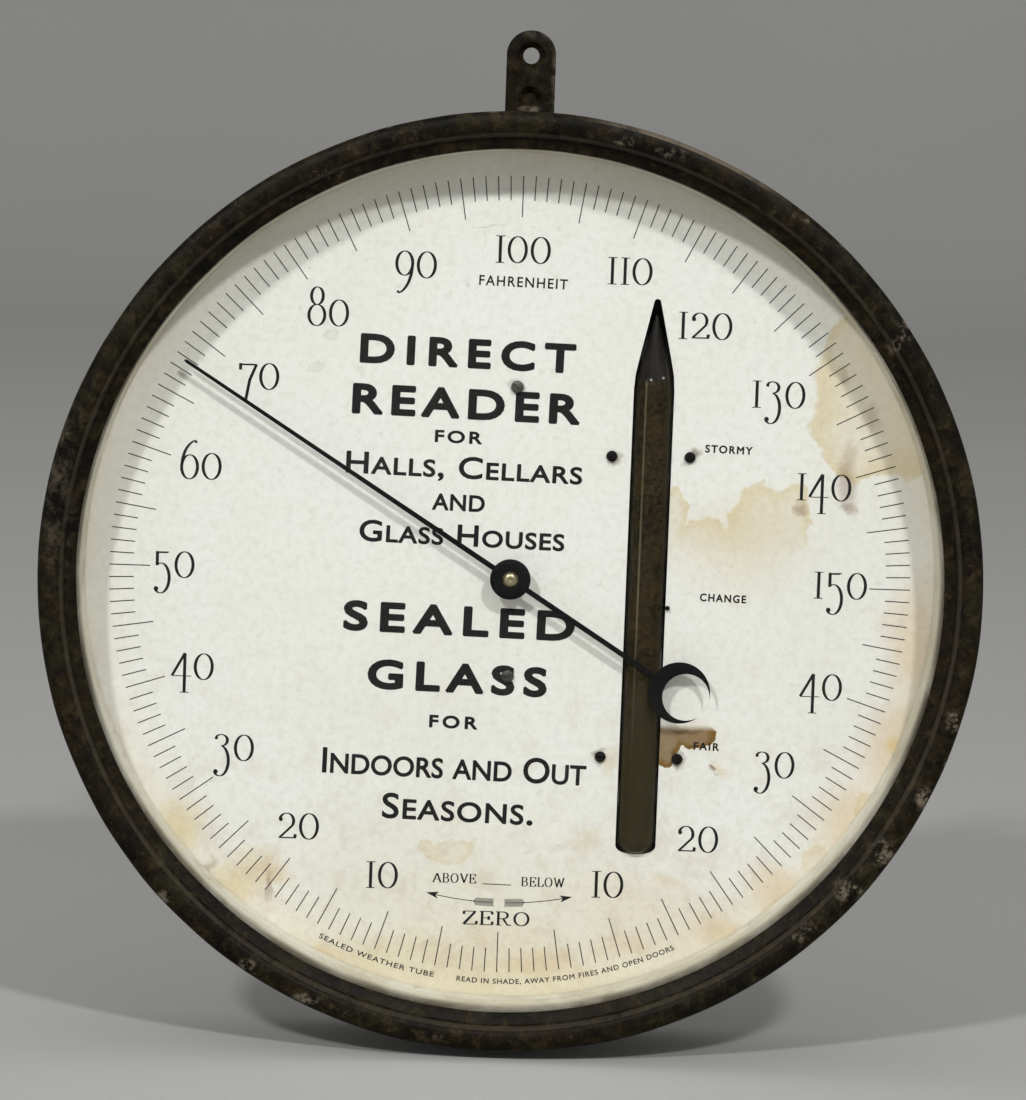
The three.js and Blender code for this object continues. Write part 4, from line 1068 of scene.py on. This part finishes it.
def make_words(looks):
    parts = [word_parts(text, width, height, swell, tracking, tilted_at(x, z))
             for text, x, z, width, height, swell, tracking in WORDS]
    declare(joined("dial_words", parts), "dial_paper", looks["ink"])
    parts = [word_parts(text, width, height, 0.03, 1.15, bent_at(degrees))
             for text, degrees, width, height in RIM_WORDS]
    declare(joined("rim_words", parts), "dial_paper", looks["scale_ink"])


# ---- screws and storm glass


def slotted_screw(name, x, z, turn, head_r, head_front, slot_depth, slot_width):
    back = PAPER_FRONT - 0.3
    profile = softened([
        (0, head_front - 0.12), (head_r * 0.8, head_front, 0.5), (head_r, head_front + 0.25, 0.2),
        (head_r, back, 0.1), (head_r * 0.5, back, 0.05), (head_r * 0.5, -26.9, 0.05), (0, -26.9),
    ], 0.2, 4)
    screw = add_mesh(name, *turned(profile, 40, x, z))
    slot = box(-2 * head_r, 2 * head_r, head_front - 1, head_front + slot_depth,
               -slot_width / 2, slot_width / 2, math.radians(turn), (x, z))
    carve(screw, [joined("slot", [slot])], 28)
    return screw


def make_screws(looks):
    for name, (x, z, turn) in DIAL_SCREWS.items():
        screw = slotted_screw(name + "_head", x, z, turn, 1.5, -29.33, 0.42, 0.42)
        declare(screw, "steel", looks["screw_steel"], name)
    for name, (x, z, turn) in TUBE_SCREWS.items():
        screw = slotted_screw(name + "_head", x, z, turn, 1.3, -29.23, 0.38, 0.34)
        declare(screw, "screw_dark", looks["screw_dark"], name)
    pin = [(0, -29.55), (0.38, -29.45, 0.2), (0.45, -29.2, 0.1), (0.45, -26.2, 0.05), (0, -26.2)]
    pin = softened(pin, 0.1, 3)
    declare(add_mesh("tube_stop_pin", *turned(pin, 24, *TUBE_PIN)), "brass", looks["screw_dark"], "tube_pin")


def upright(profile, sides=FINE):
    """A closed profile of (radius, height) turned about the storm glass's own axis."""
    points, faces = turned(profile, sides)
    return [(TUBE_X + x + leaning(y), TUBE_Y + z, y) for x, y, z in points], faces


def make_storm_glass(looks):
    r, inner = TUBE_R, TUBE_R - TUBE_WALL
    outside = [(0, TUBE_BOTTOM), (r * 0.62, TUBE_BOTTOM + 0.15, 1.2), (r, TUBE_BOTTOM + 2.2, 1.6),
               (r, TUBE_SHOULDER - 0.4, 6.0), (0.78, TUBE_TIP - 1.0, 1.6), (0.6, TUBE_TIP, 0.35)]
    inside = [(0.30, TUBE_TIP - 0.05, 0.05), (0.40, TUBE_TIP - 2.5, 0.4), (inner, TUBE_SHOULDER - 1.2, 6.0),
              (inner, TUBE_BOTTOM + 2.5, 1.3), (inner * 0.6, TUBE_BOTTOM + 0.5, 0.8),
              (0, TUBE_BOTTOM + 0.25)]
    points, faces = upright(softened(outside + inside, 0.5, 8))
    tube = add_mesh("storm_glass", points, faces, sharp=50)
    declare(tube, "tube_glass", looks["tube_glass"], "storm_tube")
    full = inner - 0.1
    # The liquid piece reaches on up into the cone, where its colour is the painted shade film.
    liquid = [(0, TUBE_BOTTOM + 0.35), (full * 0.6, TUBE_BOTTOM + 0.6, 0.8), (full, TUBE_BOTTOM + 2.6, 1.5),
              (full, TUBE_SHOULDER - 1.3, 6.0), (0.35, TUBE_TIP - 4.0, 0.3), (0, TUBE_TIP - 3.6)]
    points, faces = upright(softened(liquid, 0.4, 8))
    liquid = add_mesh("storm_glass_liquid", points, faces, sharp=50)
    declare(liquid, "storm_liquid", looks["storm_liquid"], "storm_liquid")


# ---- hanger


def make_hanger(looks):
    outline = [(TAB_X + TAB_HALF, TAB_BOTTOM),
               *arc(TAB_X, TAB_TOP - TAB_HALF, TAB_HALF, TAB_HALF, 0, 180, 40),
               (TAB_X - TAB_HALF, TAB_BOTTOM)]
    tab = add_mesh("hanging_tab", *flat_solid([outline], [], TAB_FRONT, TAB_BACK))
    cutters = []
    for z, sink, r, end in ((123.1, 3.3, 1.95, TAB_BACK + 1), (113.0, 2.8, 1.6, TAB_BACK - 0.2)):
        profile = [(0, TAB_FRONT - 1), (sink + 0.55, TAB_FRONT - 1), (sink + 0.1, TAB_FRONT, 0.4),
                   (r, TAB_FRONT + 1.15, 0.1), (r, end), (0, end)]
        cutters.append(turned(softened(profile, 0.02, 3), 48, TAB_X, z))
    cutters += [drill(RIVET_R, TAB_X, z) for z in RIVET_ZS]
    carve(tab, [joined("tab_cutters", cutters)])
    soften_edges(tab, 0.3, 3)
    declare(tab, "dark_brass", looks["tab_brass"], "hanger_tab")
    for i, z in enumerate(RIVET_ZS):
        profile = softened([(0, -4.5), (1.5, -4.4, 0.7), (2.6, -3.5, 0.3), (1.3, -3.5, 0.05),
                            (1.3, -0.1, 0.2), (0, -0.1)], 0.2, 4)
        rivet = add_mesh(f"tab_rivet_{i + 1}", *turned(profile, 40, TAB_X, z))
        declare(rivet, "brass", looks["brass"], f"hanger_rivet_{i + 1}")


# ---- pointer


READING_TURN = math.radians(-57.8)
BLADE_FRONT, BLADE_BACK = -33.0, -32.4
# The moon on the tail: its middle, its radius, and the circle cut out of it.
MOON_Z, MOON_R, MOON_CUT_R, MOON_SHIFT = -48.4, 7.3, 5.6, 1.88


def turned_to_reading(points):
    c, s = math.cos(READING_TURN), math.sin(READING_TURN)
    return [(x * c + z * s, y, -x * s + z * c) for x, y, z in points]


def make_pointer(looks):
    tail_top = MOON_Z + MOON_R - 0.5
    needle = [(-0.60, tail_top), (0.60, tail_top), (0.64, 0), (0.38, 91.8), (0.26, 92.4), (0, 92.6),
              (-0.26, 92.4), (-0.38, 91.8), (-0.64, 0)]
    horns = crescent(MOON_Z, MOON_R, MOON_CUT_R, MOON_SHIFT)
    points, faces = flat_solid([needle, circle(0, 0, 4.2), horns], [circle(0, 0, 2.05)],
                               BLADE_FRONT, BLADE_BACK)
    blade = add_mesh("pointer_blade", turned_to_reading(points), faces)
    soften_edges(blade, 0.09, 2)
    declare(blade, "blued_steel", looks["blued_steel"], "pointer", body=POINTER_BODY)
    boss = softened([(1.85, -33.3), (4.8, -33.3, 0.1), (4.8, -33.9, 0.35), (4.1, -34.3, 0.5),
                     (2.3, -34.3, 0.1), (2.1, -34.15, 0.05), (1.85, -34.15, 0.05)], 0.1, 4)
    declare(add_mesh("pointer_hub_disc", *turned(boss, 96)), "blued_steel", looks["blued_steel"],
            "pointer_boss", body=POINTER_BODY)
    collet = softened([(0, -34.4), (0.42, -34.44, 0.1), (0.54, -34.8, 0.05), (1.0, -34.76, 0.4),
                       (1.6, -34.45, 0.2), (1.6, -30.4, 0.1), (1.3, -30.4, 0.05), (1.3, -34.3, 0.05),
                       (0, -34.3)], 0.12, 3)
    declare(add_mesh("pointer_hub_collet", *turned(collet, FINE)), "brass", looks["hub_brass"],
            "pointer_collet", body=POINTER_BODY)


def crescent(centre_z, outer_r, cut_r, shift):
    """A moon with its horns pointing away from the hub."""
    cut_z = centre_z - shift
    meet = (shift ** 2 + outer_r ** 2 - cut_r ** 2) / (2 * shift)
    outer_a = math.degrees(math.acos(min(1, meet / outer_r)))
    inner_a = math.degrees(math.acos(max(-1, min(1, (meet - shift) / cut_r))))
    outer = arc(0, centre_z, outer_r, outer_r, -90 + outer_a, 270 - outer_a, 60)
    inner = arc(0, cut_z, cut_r, cut_r, 270 - inner_a, -90 + inner_a, 60)
    return outer + inner[1:-1]


# ---- hairspring and carried nodes


HAIRSPRING_FRONT, HAIRSPRING_BACK = -11.6, -10.4


def make_hairspring(looks):
    inner_r, outer_r, turns, half = 2.5, 7.4, 3, 0.13
    steps = 60 * turns
    edge = []
    for side in (1, -1):
        line = []
        for i in range(steps + 1):
            a = 2 * math.pi * turns * i / steps
            r = inner_r + (outer_r - inner_r) * i / steps + side * half
            line.append((r * math.cos(a), r * math.sin(a)))
        edge += line if side > 0 else line[::-1]
    points, faces = flat_solid([edge], [], HAIRSPRING_FRONT, HAIRSPRING_BACK)
    declare(add_mesh("hairspring_coil", points, faces), "steel", looks["steel"], "hairspring")


NODE_LOOKS = {
    "brass": ("dial_plate", "tube_strap", "movement_", "pillar_", "anchor_post", "bimetal_brass", "free_end",
              "hairspring_", "sector_gear"),
    "steel": ("pillar_screw", "anchor_screw", "bimetal_steel", "pinion", "pointer_arbor", "sector_arbor",
              "link"),
}


def dress_nodes(looks):
    """Gives every CAD node that stays in view its own procedural finish."""
    for name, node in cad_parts.items():
        for slot, starts in NODE_LOOKS.items():
            if name.startswith(starts):
                node.data.materials.clear()
                node.data.materials.append(looks[slot])


# ---- floor, lights and camera


FLOOR_Z, FLOOR_FRONT, FLOOR_BEND_Y, FLOOR_BEND_R, FLOOR_TOP = -112.5, -3500, 3000, 900, 4000
FLOOR_HALF = 5000
LAMPS = {"lamp_left": (-0.98, -2.2, 1.50), "lamp_right": (0.75, -2.2, 1.60)}
LAMP_SIZE, LAMP_POWER = 0.20, 33
CAMERA_TILT, CAMERA_SWING, CAMERA_ROLL = (math.radians(v) for v in (5.7, -0.8, 1.965))
CAMERA_DISTANCE, CAMERA_TARGET = 1200.0, Vector((0.48, -28.0, 6.46))
SENSOR = 36.0
LENS = SENSOR * 5061 / 1100


def make_stage():
    profile = [(FLOOR_FRONT, FLOOR_Z), (FLOOR_BEND_Y, FLOOR_Z)]
    for degrees in range(10, 91, 10):
        a = math.radians(degrees)
        profile.append((FLOOR_BEND_Y + FLOOR_BEND_R * math.sin(a),
                        FLOOR_Z + FLOOR_BEND_R * (1 - math.cos(a))))
    profile.append((FLOOR_BEND_Y + FLOOR_BEND_R, FLOOR_TOP))
    points = [(x, y, z) for y, z in profile for x in (-FLOOR_HALF, FLOOR_HALF)]
    faces = [(2 * i, 2 * i + 1, 2 * i + 3, 2 * i + 2) for i in range(len(profile) - 1)]
    floor = add_mesh("studio_floor", points, faces, 60)
    s = Shader("studio_floor_paint")
    s.set(Base_Color=s.mix(s.noise(3, 3), (0.385, 0.38, 0.368), (0.42, 0.415, 0.40)))
    s.set(Roughness=0.9)
    floor.data.materials.append(s.material)


def add_lamp(name, place):
    data = bpy.data.lights.new(name, "AREA")
    data.shape = "DISK"
    data.size = LAMP_SIZE
    data.energy = LAMP_POWER
    lamp = bpy.data.objects.new(name, data)
    lamp.location = place
    aim = Vector((0, -0.03, 0)) - lamp.location
    lamp.rotation_euler = aim.to_track_quat("-Z", "Y").to_euler()
    bpy.context.scene.collection.objects.link(lamp)


def make_lights():
    for name, place in LAMPS.items():
        add_lamp(name, place)
    world = bpy.data.worlds.new("studio")
    world.use_nodes = True
    sky = world.node_tree.nodes["Background"]
    sky.inputs["Color"].default_value = (0.97, 0.98, 0.98, 1)
    sky.inputs["Strength"].default_value = 0.50
    bpy.context.scene.world = world


def make_camera():
    tilt, swing, roll = CAMERA_TILT, CAMERA_SWING, CAMERA_ROLL
    ahead = Vector((-math.sin(swing) * math.cos(tilt), math.cos(swing) * math.cos(tilt), -math.sin(tilt)))
    right = Vector((math.cos(swing), math.sin(swing), 0))
    up = right.cross(ahead)
    rolled = right * math.cos(roll) + up * math.sin(roll)
    up = up * math.cos(roll) - right * math.sin(roll)
    data = bpy.data.cameras.new("camera")
    data.sensor_width = SENSOR
    data.lens = LENS
    data.clip_end = 50
    camera = bpy.data.objects.new("camera", data)
    axes = Matrix((rolled, up, -ahead)).transposed().to_4x4()
    axes.translation = (CAMERA_TARGET - ahead * CAMERA_DISTANCE) * MM
    camera.matrix_world = axes
    bpy.context.scene.collection.objects.link(camera)
    bpy.context.scene.camera = camera


# ---- build

finishes = make_materials()
make_case(finishes)
make_paper(finishes)
make_scale(finishes)
make_words(finishes)
make_screws(finishes)
make_storm_glass(finishes)
make_hanger(finishes)
make_pointer(finishes)
make_hairspring(finishes)
dress_nodes(finishes)
make_stage()
make_lights()
make_camera()
bpy.context.scene.view_settings.view_transform = "Standard"
